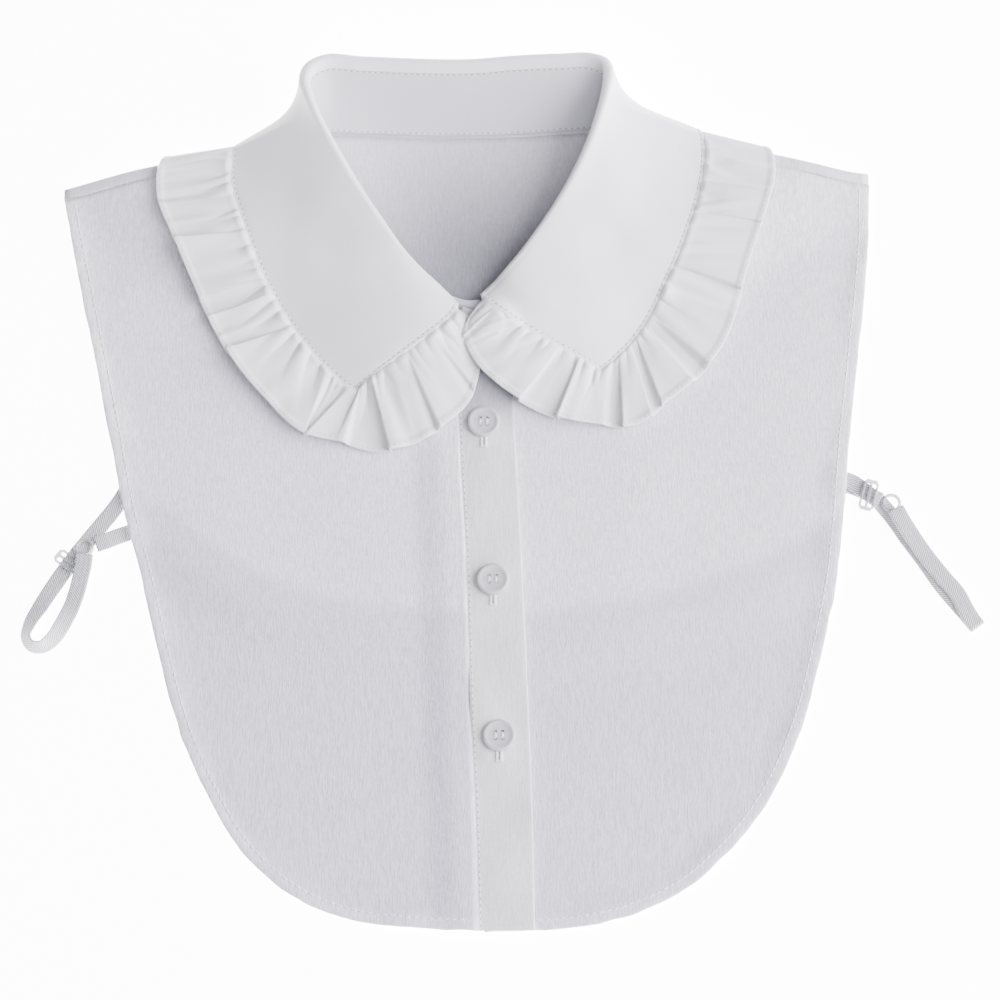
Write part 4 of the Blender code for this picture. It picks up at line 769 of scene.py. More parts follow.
class Cloth:
    """A sheet on a grid of points, with its thickness and a mask at each point."""

    def __init__(self, columns, rows):
        self.columns, self.rows = columns, rows
        self.points, self.thick, self.layers_and_shade = (
            [[value] * (rows + 1) for _ in range(columns + 1)] for value in (None, 1.0, 0.0)
        )
        self.verts = {}
        self.seen_from = None

    def at(self, column, row):
        """Point between the grid's points."""
        i = min(max(int(column), 0), self.columns - 1)
        j = min(max(int(row), 0), self.rows - 1)
        s, t = column - i, row - j
        near = self.points[i][j].lerp(self.points[i + 1][j], s)
        far = self.points[i][j + 1].lerp(self.points[i + 1][j + 1], s)
        return near.lerp(far, t)

    def up(self, column, row):
        """Direction across the sheet there, on its upper side or the side seen from a point."""
        along = self.at(min(column + 0.5, self.columns), row) - self.at(max(column - 0.5, 0), row)
        across = self.at(column, min(row + 0.5, self.rows)) - self.at(column, max(row - 0.5, 0))
        normal = along.cross(across).normalized()
        side = normal.z
        if self.seen_from is not None:
            side = normal.dot(self.seen_from - self.at(column, row))
        return normal if side >= 0 else -normal

    def grid(self):
        """The open grid with its UV map in millimetres."""
        bm = bmesh.new()
        bmesh.ops.create_grid(bm, x_segments=self.columns, y_segments=self.rows, size=0.5)
        wall = bm.verts.layers.deform.verify()
        layers_and_shade = bm.verts.layers.float.new("layers_and_shade")
        uv = bm.loops.layers.uv.new("cloth")
        places = []
        for v in bm.verts:
            column = round((v.co.x + 0.5) * self.columns)
            row = round((v.co.y + 0.5) * self.rows)
            places.append((column, row))
            self.verts[column, row] = v
            v.co = self.points[column][row]
            v[wall][0] = self.thick[column][row]
            v[layers_and_shade] = self.layers_and_shade[column][row]
        along = lengths([line[self.rows // 2] for line in self.points])
        across = lengths(self.points[self.columns // 2])
        for face in bm.faces:
            for loop in face.loops:
                column, row = places[loop.vert.index]
                loop[uv].uv = (along[column], across[row])
        return bm

    def build(self, name, material, bm=None):
        """The sheet with its wall, which is as thick as the thickness at each point."""
        thing = finish_mesh(name, bm or self.grid(), material)
        thing.vertex_groups.new(name="wall")
        wall = thing.modifiers.new("wall", "SOLIDIFY")
        wall.thickness = MM
        wall.offset = 0.0
        wall.use_even_offset = True
        wall.vertex_group = "wall"
        wall.thickness_vertex_group = 0.0
        return thing


def hem_thickness(away, hem):
    """Thickness of the wall at a distance from the edge."""
    distances, walls = zip(*reversed(hem))
    return read((distances, walls), away)


def hem_place(hem, distance):
    """Which row of a hem lies at a distance from the edge."""
    return [d for d, _ in hem].index(distance)


class Patch:
    """A surface stretched between four edges; the outer edge ends in a hem."""

    def __init__(self, neck, outer, centre, shoulder, columns, body_rows, power=1.0):
        self.columns, self.body_rows, self.power = columns, body_rows, power
        self.rows = body_rows + len(PANEL_HEM) - 1
        self.neck = [neck(i / columns) for i in range(columns + 1)]
        self.outer = [outer(i / columns) for i in range(columns + 1)]
        self.centre, self.shoulder = centre, shoulder
        self.sides = {}

    def side(self, v):
        """The two side edges' points at v, kept for the next column."""
        key = round(v, 6)
        if key not in self.sides:
            self.sides[key] = (self.centre(v), self.shoulder(v))
        return self.sides[key]

    def point(self, column, v):
        """Point of a column at v, which runs from the neck to the outer edge."""
        u = column / self.columns
        left, right = self.side(v)
        across = self.neck[column].lerp(self.outer[column], v)
        ends = self.neck[0].lerp(self.neck[-1], u).lerp(self.outer[0].lerp(self.outer[-1], u), v)
        return across + left.lerp(right, u) - ends

    def reach(self, column):
        """Length of v in millimetres, measured square to the outer edge."""
        i = min(max(column, 1), self.columns - 1)
        edge = (self.outer[i + 1] - self.outer[i - 1]).normalized()
        run = (self.outer[column] - self.point(column, 0.98)) / 0.02
        return (run - edge * run.dot(edge)).length

    def v_at(self, row, reach):
        """v of a grid row: spread over the body, then the hem's own rows."""
        last = 1.0 - PANEL_HEM[0][0] / reach
        if row <= self.body_rows:
            return last * (row / self.body_rows) ** self.power
        return 1.0 - PANEL_HEM[row - self.body_rows][0] / reach

    def places(self):
        """Column, row, point and distance from the outer edge, all over the grid."""
        for column in range(self.columns + 1):
            reach = self.reach(column)
            for row in range(self.rows + 1):
                v = self.v_at(row, reach)
                yield column, row, self.point(column, v), (1.0 - v) * reach

    def hem_stitches(self, name, cloth, last_column, *sizes):
        """The row of stitches that holds the hem."""
        row = self.body_rows + hem_place(PANEL_HEM, HEM_STITCH)
        stitches(name, cloth, [(column, row) for column in range(2, last_column)], *sizes)


def painted_neck_shade(x, y):
    """Strength of the painted shade on the back deep in the neck: 0 outside, 1.6 beside the crossing.
    """
    across, along = (x - NECK_SHADE[0]) / NECK_SHADE[2], (y - NECK_SHADE[1]) / NECK_SHADE[3]
    return NECK_SHADE_STRENGTH * fade(math.hypot(across, along) - NECK_EVEN)


def hem_pucker(p, away):
    """Shift of a stitched hem: it waves, puckers at the thread and dies out inside the panel."""
    slow = ripple(p.x, p.y, *PUCKER_SLOW) + PUCKER_BIAS
    quick = ripple(p.x, p.y, *PUCKER_QUICK)
    seed, size, shift = PUCKER_ASIDE
    far, near, beside = (fade(away / reach) for reach in PUCKER_FADES)
    aside = noise.noise_vector(Vector((p.x / size, p.y / size, seed))) * shift * beside
    rise = max(slow, 0.0) * far + quick * near
    return Vector((aside.x, aside.y, rise))


def shoulder_seam(table, share):
    """Where the front starts, in front of the shoulder fold."""
    p = Rail(table).at(share)
    p.y -= FOLD_RADIUS + FLAP + 0.1
    return p.xy


def front_panel(name, sign):
    """One front: sign -1 is the right front, on the picture's left, and 1 the left front."""
    if sign < 0:
        neck, shoulder, tip_share, side = RIGHT_FRONT_NECK, LEFT_SHOULDER, 1.0, 1
        level, past_edge = outer_level, HIDDEN_EDGE
    else:
        neck, shoulder, tip_share, side = LEFT_FRONT_NECK, RIGHT_SHOULDER, 0.0, 2
        level, past_edge = front_level, UNDERLAP
    neckline = Rail(neck)
    seam = [shoulder_seam(shoulder, abs(tip_share - s / 6)) for s in range(7)]
    edge = [(left + past_edge, y) for y, left, right in PLACKET]
    edge[0] = neckline.points[0].xy
    edge[-1] = (edge[-1][0], HEM_BOTTOM)
    outer = Rail([edge[-1], *[(row[side], row[0]) for row in reversed(FRONT_SIDES)], seam[-1]])
    neck_flat = Rail([p.xy for p in neckline.points])
    patch = Patch(neck_flat.at, outer.at, Rail(edge).at, Rail(seam).at, *FRONT_GRID)
    rises = [neckline.at(column / patch.columns).z for column in range(patch.columns + 1)]
    cloth = Cloth(patch.columns, patch.rows)
    for column, row, p, away in patch.places():
        from_neck = (p - patch.neck[column]).xy.length
        climb = rises[column] * max(0.0, 1.0 - from_neck / NECK_RISE) ** 2
        p.z = level(p.x, p.y) + climb + ripple(p.x, p.y, 3.0 + sign, *FRONT_WAVES)
        p += hem_pucker(p, away)
        p.z = max(p.z, CLOTH / 2)
        for x, y, height in TAPE_BUMPS:
            p.z += height * fade(math.hypot(p.x - x, p.y - y) / TAPE_BUMP_REACH)
        cloth.points[column][row] = p
        cloth.thick[column][row] = hem_thickness(away, PANEL_HEM)
        layers_and_shade = fade((read(HEM_LINE, p.x) - 1.0 - p.y) / LINED_FADE)
        cloth.layers_and_shade[column][row] = layers_and_shade + HEM_PALE * fade((away - HEM_PALE_EDGE[0]) / HEM_PALE_EDGE[1])
    thing = cloth.build(name, CREPE)
    patch.hem_stitches(name + "_hem", cloth, patch.columns, *FRONT_HEM_THREAD)
    return thing


def turn_over(bm, line):
    """Turns the back's cloth over one shoulder, from the grid's points along its fold."""
    wall = bm.verts.layers.deform.verify()
    layers_and_shade = bm.verts.layers.float["layers_and_shade"]
    uv = bm.loops.layers.uv["cloth"]
    turns = []
    for k in range(1, TURN_ROWS + 1):
        angle = math.pi * k / TURN_ROWS
        turns.append(Vector((0, math.sin(angle), 1.0 - math.cos(angle))) * FOLD_RADIUS)
    turns += [turns[-1] + Vector((0, -run, -dip)) for run, dip in FLAP_STEPS]
    base = [v.co.copy() for v in line]
    for turn in turns:
        raised = [bm.verts.new(p + turn) for p in base]
        for v in raised:
            v[wall][0] = PANEL_WALL
            v[layers_and_shade] = 1.0
        for a, b, c, d in zip(line, line[1:], raised[1:], raised):
            for loop in bm.faces.new((a, b, c, d)).loops:
                loop[uv].uv = loop.vert.co.xy
        line = raised


def back_panel():
    """The back, turned over the shoulders to the shoulder seams."""
    left = Rail([(x, y - FOLD_RADIUS) for x, y in LEFT_SHOULDER])
    right = Rail([(x, y - FOLD_RADIUS) for x, y in RIGHT_SHOULDER])
    neck = Rail([left.points[-1].xy, *BACK_NECK, right.points[0].xy])
    each, middle = SHOULDER_COLUMNS, NECK_COLUMNS
    columns = 2 * each + middle

    def top(u):
        at = u * columns
        if at <= each:
            return left.at(at / each)
        if at <= each + middle:
            return neck.at((at - each) / middle)
        return right.at((at - each - middle) / each)

    beside = [row for row in FRONT_SIDES if row[0] > BACK_SIDE_END]
    left_side = Rail([top(0.0).xy, *[(x, y) for y, x, _ in beside], BACK_HEM[0]])
    right_side = Rail([top(1.0).xy, *[(x, y) for y, _, x in beside], BACK_HEM[-1]])
    patch = Patch(top, Rail(BACK_HEM).at, left_side.at, right_side.at, columns, BACK_ROWS_DOWN)
    cloth = Cloth(patch.columns, patch.rows)
    for column, row, p, away in patch.places():
        p.z = max(back_level(p.x, p.y) + ripple(p.x, p.y, *BACK_WAVES), CLOTH / 2)
        cloth.points[column][row] = p
        cloth.thick[column][row] = hem_thickness(away, PANEL_HEM)
        # Painted shade: the back is darkened deep in the neck, most beside the collar's crossing
        cloth.layers_and_shade[column][row] = 1.0 - painted_neck_shade(p.x, p.y)
    bm = cloth.grid()
    for first, last in ((0, each), (each + middle, columns)):
        turn_over(bm, [cloth.verts[column, 0] for column in range(first, last + 1)])
    bmesh.ops.recalc_face_normals(bm, faces=bm.faces)
    thing = cloth.build("back_panel_cloth", LINING, bm)
    patch.hem_stitches("back_hem", cloth, patch.columns - 1, *BACK_HEM_THREAD)
    return thing


def small_shape(operator, **settings):
    """Points and faces of a small shape made by one operator, to be stamped many times."""
    bm = bmesh.new()
    operator(bm, **settings)
    points = [v.co.copy() for v in bm.verts]
    faces = [[v.index for v in face.verts] for face in bm.faces]
    bm.free()
    return points, faces


def stamp(bm, shape, place):
    """Adds one more copy of a small shape."""
    points, faces = shape
    verts = [bm.verts.new(place @ p) for p in points]
    for face in faces:
        bm.faces.new([verts[i] for i in face])


def stretched(along, across, up, middle):
    """A transform that gives a shape its three directions and its middle."""
    place = Matrix((along, across, up)).transposed().to_4x4()
    place.translation = middle
    return place


PAD = small_shape(bmesh.ops.create_uvsphere, u_segments=8, v_segments=5, radius=1.0)
HOLE = small_shape(bmesh.ops.create_uvsphere, u_segments=7, v_segments=3, radius=1.0)


def stitches(name, cloth, path, pitch, length, width, height, hole):
    """A row of machine stitches on a sheet, along a path of grid places.

    Each stitch is a small pad of thread between two needle holes; each hole is a small dark spot of
    painted shade.
    """
    runs = lengths([cloth.at(*place) for place in path])
    count = int(runs[-1] / pitch)
    columns, rows = zip(*path)
    bm, holes = bmesh.new(), bmesh.new()
    for k in range(count):
        middle = (k + 0.5) * runs[-1] / count
        goals = (middle - length / 2, middle, middle + length / 2, middle + pitch / 2)
        a, spot, b, gap = ((read((runs, columns), goal), read((runs, rows), goal)) for goal in goals)
        up = cloth.up(*spot)
        along = (cloth.at(*b) - cloth.at(*a)) / 2
        across = up.cross(along).normalized()
        wall = cloth.thick[round(spot[0])][round(spot[1])]
        centre = cloth.at(*spot) + up * (wall / 2 + height * PAD_ABOVE)
        stamp(bm, PAD, stretched(along, across * width / 2, up * height / 2, centre))
        centre = cloth.at(*gap) + cloth.up(*gap) * (wall / 2 + HOLE_ABOVE)
        pulled = along.normalized() * hole * HOLE_PULL
        stamp(holes, HOLE, stretched(pulled, across * hole, up * HOLE_HEIGHT, centre))
    finish_mesh(name + "_stitches", bm, THREAD)
    finish_mesh(name + "_needle_hole_shade", holes, SHADE)


def placket_level(x, y):
    """Middle of the placket's wall."""
    return front_level(x, y) + (CLOTH + PLACKET_CLOTH) / 2 + SEAM


def placket_ripple(x, y):
    """Soft crosswise waves of the placket, a little sunk below its solid."""
    wide, long, seed, height = PLACKET_WAVES
    return noise.noise(Vector((x / wide, y / long, seed))) * height - PLACKET_SINK


def placket():
    """The folded strip on the right front's edge, over the left front."""
    cloth = Cloth(len(PLACKET_MARKS) - 1, PLACKET_ROWS)
    top, bottom = PLACKET[0][0], PLACKET[-1][0]
    for row in range(PLACKET_ROWS + 1):
        y = top + (bottom - top) * row / PLACKET_ROWS
        left, right = read(STITCHED_LINE, y), read(FREE_LINE, y)
        end = min(row, PLACKET_ROWS - row) / PLACKET_ROWS * (top - bottom)
        for column, (share, wall) in enumerate(PLACKET_MARKS):
            x = left + (right - left) * share
            z = placket_level(x, y) + PLACKET_RISE * fade((top - y) / NECK_RISE)
            z += placket_ripple(x, y)
            cloth.points[column][row] = Vector((x, y, z))
            cloth.thick[column][row] = wall * (0.6 + 0.4 * min(end / 0.8, 1.0))
            # Painted shade: the placket's top under the ruffles is darkened, fading out lower down
            cloth.layers_and_shade[column][row] = 1.0 - fade((top - PLACKET_SHADE[0] - y) / PLACKET_SHADE[1])
    thing = cloth.build("placket_band", BAND)
    path = [(2.0, row) for row in range(3, PLACKET_ROWS)]
    stitches("placket_edge", cloth, path, *PLACKET_THREAD)
    return thing


def collar_frames():
    """Feet, folds, edges and the direction away from the neck, on the solids' own rows."""
    feet, folds, edges = (Rail([row[i] for row in COLLAR]) for i in range(3))
    count = (len(COLLAR) - 1) * OUTS_PER_ROW
    outs = []
    for k in range(count + 1):
        row = k / OUTS_PER_ROW
        along = folds.at_row(min(row + 0.25, len(COLLAR) - 1)) - folds.at_row(max(row - 0.25, 0))
        up = (folds.at_row(row) - feet.at_row(row)).normalized()
        outs.append(up.cross(along).normalized())
    for _ in range(2):
        outs = [
            (outs[max(i - 1, 0)] + outs[i] * 2 + outs[min(i + 1, count)]).normalized()
            for i in range(count + 1)
        ]
    return feet, folds, edges, outs


FEET, FOLDS_LINE, EDGES, OUTS = collar_frames()


def from_front(row):
    """Rows from a section of the collar to the nearer front end."""
    return min(row, len(COLLAR) - 1 - row)


def collar_roll(row):
    """Foot of the stand, the way up from it and the leaf's line from its seam over the roll."""
    foot, fold = FEET.at_row(row), FOLDS_LINE.at_row(row)
    k = min(int(row * OUTS_PER_ROW), len(OUTS) - 2)
    out = OUTS[k].lerp(OUTS[k + 1], row * OUTS_PER_ROW - k)
    if abs(row - BACK_ROW) > BACK_ROWS:
        level = outer_level if row < BACK_ROW else front_level
        foot.z = max(foot.z, level(foot.x, foot.y) + FOOT_RISE)
    i = min(int(row), len(COLLAR) - 2)
    roll = COLLAR[i][4] + (COLLAR[i + 1][4] - COLLAR[i][4]) * (row - i)
    up = (fold - foot).normalized()
    out = (out - up * out.dot(up)).normalized()
    inner = fold - (up + out) * roll
    seam = inner - (inner - foot).normalized() * (SEAM_DROP - roll)
    leaf = [seam, *[seam.lerp(inner, share) for share in SEAM_SHARES]]
    centre = fold - up * roll
    for k in range(ROLL_STEPS + 1):
        turn = math.pi * k / ROLL_STEPS
        leaf.append(centre - out * roll * math.cos(turn) + up * roll * math.sin(turn))
    return foot, up, leaf


def collar_section(row):
    """Foot of the stand and the leaf's line from its inner seam over the roll to the edge."""
    foot, up, leaf = collar_roll(row)
    start, edge = leaf[-1], EDGES.at_row(row)
    away = abs(row - BACK_ROW)
    under = fade((away - UNDER_ROWS) / UNDER_EASE)
    hold = start - up * (FALL_REACH + (UNDER_REACH - FALL_REACH) * under)
    land = edge.lerp(start, LAND_PULL[0] + LAND_PULL[1] * under)
    land.z = edge.z + LAND_SHARE * (1.0 - under) * (start.z - edge.z)

    def fall(t):
        return (
            start * (1 - t) ** 3
            + hold * 3 * (1 - t) ** 2 * t
            + land * 3 * (1 - t) * t**2
            + edge * t**3
        )

    last = (edge - fall(1.0 - EDGE_STEP)).length / EDGE_STEP
    welt = [1.0 - d / last for d, _ in LEAF_WELT]
    marks = [welt[0] * k / FALL_STEPS for k in range(1, FALL_STEPS)] + welt
    lean = LEAF_LEAN * fade(from_front(row) / LEAN_ROWS)
    for t in marks:
        p = fall(t)
        if away > BACK_ROWS:
            rest = soft_max(outer_level(p.x, p.y) + LEAF_REST, over_button(p.x, p.y))
            p.z = soft_max(p.z, rest - REST_GIVE, REST_BLEND) + lean * math.sin(math.pi * t)
        elif away < UNDER_ROWS and p.y < UNDER_MIDDLE[1]:
            p.z = min(p.z, back_level(p.x, p.y) - LEAF_REST)
        p.z = max(p.z, COLLAR_CLOTH / 2)
        leaf.append(p)
    return foot, leaf


def collar_rows():
    """Fractional rows of the collar: close together at both ends, for the front edges' welt."""
    last = len(COLLAR) - 1
    ends = [d * WELT_STEP for d, _ in reversed(LEAF_WELT)]
    inner = [k / COLUMNS_PER_ROW for k in range(last * COLUMNS_PER_ROW + 1)]
    first = ends[-1] + ROW_GAP
    inner = [row for row in inner if first < row < last - first]
    return ends + inner + [last - d for d in reversed(ends)]


def collar_leaf(rows, lines):
    """The leaf, with its welted border and the stitches beside it."""
    count = len(lines[0]) - 1
    first_welt = count - len(LEAF_WELT) + 1
    leaf = Cloth(len(rows) - 1, count)
    for column, line in enumerate(lines):
        front = from_front(rows[column])
        on_front = fade((front - BACK_ROW + BACK_ROWS + UNDER_EASE) / UNDER_EASE)
        for row, p in enumerate(line):
            belly = math.sin(math.pi * max(row - FALL_START, 0) / (count - FALL_START)) * on_front
            p.z += belly * ripple(p.x, p.y, *LEAF_WAVES)
            p.z += ripple(p.x, p.y, *LEAF_SEAM_WAVES) * fade((SEAM_ROWS - row) / SEAM_ROWS)
            away = LEAF_WELT[row - first_welt][0] if row >= first_welt else LEAF_WELT[0][0]
            if row > FALL_START - 4:
                away = min(away, front / WELT_STEP)
            leaf.thick[column][row] = hem_thickness(away, LEAF_WELT)
            p.z = max(p.z, LEAF_CLEAR * leaf.thick[column][row])
            leaf.points[column][row] = p
    thing = leaf.build("collar_leaf_cloth", COLLAR_POPLIN)
    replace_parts(thing, "collar_leaf")

    mark = hem_place(LEAF_WELT, LEAF_STITCH)
    stitch_row, first = first_welt + mark, len(LEAF_WELT) - 1 - mark
    last = leaf.columns - first
    path = [(first, row) for row in range(FALL_START, stitch_row)]
    path += [(column, stitch_row) for column in range(first, last + 1)]
    path += [(last, row) for row in range(stitch_row - 1, FALL_START - 1, -1)]
    stitches("leaf_edge", leaf, path, *LEAF_THREAD)


def tab(table, columns):
    """Pairs of foot and top along one of the stand's tabs."""
    feet, tops = (Rail(points) for points in zip(*table))
    return [(feet.at(k / columns), tops.at(k / columns)) for k in range(columns + 1)]


def bridge(start, end, count):
    """Pairs of foot and top between two ends of the stand, without the ends themselves."""
    return [tuple(a.lerp(b, k / count) for a, b in zip(start, end)) for k in range(1, count)]


def collar_stand(lines):
    """The stand round the neck, whose two tabs cross at the front, with its stitches."""
    first, last = tab(OUTER_TAB, TAB_COLUMNS[0]), tab(UNDER_TAB, TAB_COLUMNS[1])
    start, end = (first[-1], lines[0], BRIDGE_COLUMNS[0]), (lines[-1], last[0], BRIDGE_COLUMNS[1])
    lines = first + bridge(*start) + lines + bridge(*end) + last
    stand = Cloth(len(lines) - 1, len(STAND_MARKS) - 1)
    for column, (foot, top) in enumerate(lines):
        in_tab = 1.0 - fade((column - len(lines) + len(last) + TAB_FADE) / TAB_FADE)
        for row, share in enumerate(STAND_MARKS):
            p = foot.lerp(top, share)
            below, above = (fade((share - at) / step) for at, step in TAB_BENDS)
            p.z -= TAB_DIP * in_tab * below * (1.0 - above)
            stand.points[column][row] = p
            stand.thick[column][row] = STAND_WALL * (STAND_EDGE if row in (0, stand.rows) else 1.0)
    stand.seen_from = Vector(NECK_MIDDLE)
    thing = stand.build("collar_stand_cloth", SHADED_STAND_POPLIN)
    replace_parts(thing, "collar_stand")
    stitched = range(len(first) + STAND_BARE[0], stand.columns - len(last) - STAND_BARE[1])
    for name, row in STAND_STITCHES:
        stitches(name, stand, [(column, row) for column in stitched], *STAND_THREAD)


def collar():
    """Leaf and stand on the same sections."""
    rows = collar_rows()
    sections = [collar_section(row) for row in rows]
    collar_leaf(rows, [line for foot, line in sections])
    collar_stand([(foot, line[0]) for foot, line in sections])


def on_front_edge(edge, marks, row):
    """Point of the leaf's front edge beside a row, from the share of the edge at each row."""
    i = min(int(row), len(marks) - 2)
    return edge.at(marks[i] + (marks[i + 1] - marks[i]) * (row - i))


class RuffleLine:
    """The ruffle's seam on the leaf's free border and its hem, matched to each other.

    A mark is a fractional row of the seam: down one front edge, along the leaf's outer edge and
    up the other front edge.
    """

    def __init__(self):
        self.first = Rail(collar_section(0.0)[1][FALL_START::3])
        self.last = Rail(collar_section(len(COLLAR) - 1.0)[1][FALL_START::3])
        right_shares, right_rims = zip(*RIGHT_FRONT_RUFFLE)
        left_shares, left_rims = zip(*reversed(LEFT_FRONT_RUFFLE))
        self.shares, self.end_shares = [*right_shares, 1.0], [1.0, *left_shares]
        self.rim = Rail([*right_rims, *[row[3] for row in COLLAR], *left_rims])
        self.rows = len(self.rim.points) - 1
        self.left_turn, self.right_turn = (len(right_rims) + row for row in RUFFLE_TURNS)
        fixed = {(row, row) for row in (0.0, self.left_turn, self.right_turn, self.rows)}
        pairs = sorted(fixed | {line[:2] for panel in PANELS for line in panel})
        self.to_rim = tuple(zip(*pairs))
        self.marks = [k / MARKS_PER_ROW for k in range(self.rows * MARKS_PER_ROW + 1)]
        self.seam_runs = lengths([self.at_row(mark) for mark in self.marks])
        hem = self.marks, lengths([self.rim.at_row(mark) for mark in self.marks])
        self.rim_runs = [read(hem, read(self.to_rim, mark)) for mark in self.marks]
        self.mean_runs = [(a + b) / 2 for a, b in zip(self.seam_runs, self.rim_runs)]
        self.folds = [[(read(hem, line[1]), *line[2:]) for line in panel] for panel in PANELS]
        self.pleats = gather_marks(self.seam_runs[-1])

    def at_row(self, row):
        """Point of the leaf's border at a mark."""
        front = len(RIGHT_FRONT_RUFFLE)
        last = front + len(COLLAR) - 1
        if row < front:
            return on_front_edge(self.first, self.shares, row)
        if row <= last:
            return collar_section(row - front)[1][-1]
        return on_front_edge(self.last, self.end_shares, row - last)


def panel_profile(run, start, end):
    """Height and lean of one pressed panel at a length along the hem."""
    (at, fall, height), (end_at, end_fall, end_height) = start, end
    level = fade((at - run) / fall) * fade((run - end_at) / end_fall)
    across = min(max((run - at) / (end_at - at), 0.0), 1.0)
    crown = height + (end_height - height) * across**1.5
    crown -= 0.2 * crown * math.sin(math.pi * across)
    lean = 0.0
    if end_fall < SHARP_FALL:
        lean += fade((run - end_at) / end_fall) * fade((end_at - run) / LEAN_REACH)
    if fall < SHARP_FALL:
        lean -= fade((at - run) / fall) * fade((run - at) / LEAN_REACH)
    return crown * level, lean * PANEL_LEAN


def gather_marks(length):
    """Small pleats along the seam: start, end, height, reach and slant of each."""
    dice = random.Random(5)
    pleats = []
    run = 0.0
    while run < length:
        pitch = dice.uniform(*GATHER_PITCH)
        height = dice.uniform(*GATHER_HEIGHT) * pitch**GATHER_TOP
        slant = dice.uniform(-GATHER_SLANT, GATHER_SLANT)
        pleats.append((run, run + pitch, height, dice.uniform(*GATHER_REACH), slant))
        run += pitch
    return pleats


def gather_height(pleats, run, away):
    """Height of the small pleats: rounded tops with creases between, dying out from the seam."""
    height = 0.0
    for start, end, tall, reach, slant in pleats:
        at = (run - slant * away - start) / (end - start)
        if 0.0 < at < 1.0:
            dying = math.exp(-((away / reach) ** GATHER_DYING))
            height = max(height, tall * math.sin(math.pi * at) ** GATHER_TOP * dying)
    return height


def ruffle_away(row, rows, width):
    """Distance of a row from the leaf's edge: tucked in below it, on the body, or in the hem."""
    if row < len(TUCK):
        return TUCK[row]
    in_hem = row - rows + len(RUFFLE_HEM) - 1
    if in_hem > 0:
        return width - RUFFLE_HEM[in_hem][0]
    return (width - RUFFLE_HEM[0][0]) * ((row - len(TUCK) + 1) / RUFFLE_BODY) ** BODY_SPREAD


def ruffle_height(line, mark, seam_run, rim_run):
    """Height and lean at the hem at a mark, from the pressed panels or the waves underneath."""
    if line.left_turn < mark < line.right_turn:
        return UNDER_WAVE * math.sin(math.pi * seam_run / UNDER_PITCH) ** 2, 0.0
    profiles = [panel_profile(rim_run, start, end) for start, end in line.folds]
    return max(0.0, *(tall for tall, _ in profiles)), sum(shift for _, shift in profiles)


def ruffle_ground(line, mark, settle, p):
    """Height of what the ruffle lies on, below or beside its straight way from seam to hem."""
    base = p.z
    if line.left_turn < mark < line.right_turn:
        base = max(base, CLOTH / 2)
    elif settle > 0:
        base = soft_max(base, outer_level(p.x, p.y) + CLOTH)
        if mark > line.right_turn:
            base = soft_max(base, over_button(p.x, p.y))
    if mark > line.right_turn:
        base += button_print(p.x, p.y)
    return base


def ruffle_column(cloth, line, column):
    """One line of the ruffle's points, from its tuck under the leaf to the hem."""
    mark = read((line.mean_runs, line.marks), line.mean_runs[-1] * column / cloth.columns)
    seam_run, rim_run = (read((line.marks, runs), mark) for runs in (line.seam_runs, line.rim_runs))
    rim_row = read(line.to_rim, mark)
    root, rim = line.at_row(mark), line.rim.at_row(rim_row)
    ahead, behind = min(rim_row + 0.1, line.rows), max(rim_row - 0.1, 0)
    along = (line.rim.at_row(ahead) - line.rim.at_row(behind)).normalized()
    width = (rim - root).length
    out = (rim - root) / width
    from_turn = min(abs(mark - line.left_turn), abs(mark - line.right_turn))
    settle = 1.0 - fade((from_turn - TURN_FADE[0]) / TURN_FADE[1])
    ends = 1.0 - fade(min(mark, line.rows - mark) / END_FADE)
    on_edge = fade((len(RIGHT_FRONT_RUFFLE) - mark) / EDGE_FADE)
    on_edge *= fade((mark - line.rows + len(LEFT_FRONT_RUFFLE)) / EDGE_FADE)
    height, lean = ruffle_height(line, mark, seam_run, rim_run)
    close = [pleat for pleat in line.pleats if abs(seam_run - pleat[0]) < PLEATS_WITHIN]
    for row in range(cloth.rows + 1):
        away = ruffle_away(row, cloth.rows, width)
        share = max(away, 0.0) / width
        p = root + out * away
        base = ruffle_ground(line, mark, settle, p)
        rise = height * share**RISE_POWER * ends
        sunk = GATHER_SINK[0] * fade(away / GATHER_SINK[1])
        rise += gather_height(close, seam_run, max(away, 0.0)) * (1.0 - sunk)
        rise += SEAM_RISE * on_edge * fade((away - SEAM_FADE[0]) / SEAM_FADE[1])
        streak = noise.noise(Vector((seam_run / STREAK[0], away / STREAK[1], 7.0)))
        rise += (0.5 + streak) * STREAK[2] * min(share * STREAK_START, 1.0)
        if row < len(TUCK) - 1:
            p.z = max(base - TUCK_DROP, CLOTH / 4)
        else:
            p.z = base + settle * max(rise, 0.0)
        p += along * lean * share * settle * ends
        cloth.points[column][row] = p
        cloth.thick[column][row] = hem_thickness(width - away, RUFFLE_HEM)


def ruffle():
    """The gathered strip along the leaf's border, in pressed folds, wrapped round the shoulders."""
    line = RuffleLine()
    columns = round(line.mean_runs[-1] / RUFFLE_COLUMN)
    rows = len(TUCK) + RUFFLE_BODY + len(RUFFLE_HEM) - 2
    cloth = Cloth(columns, rows)
    for column in range(columns + 1):
        ruffle_column(cloth, line, column)
    thing = cloth.build("ruffle_cloth", RUFFLE_POPLIN)
    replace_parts(thing, "ruffle")
    hem_row = rows - len(RUFFLE_HEM) + 1 + hem_place(RUFFLE_HEM, RUFFLE_STITCH)
    path = [(column, hem_row) for column in range(2, columns - 1)]
    stitches("ruffle_hem", cloth, path, *RUFFLE_THREAD)


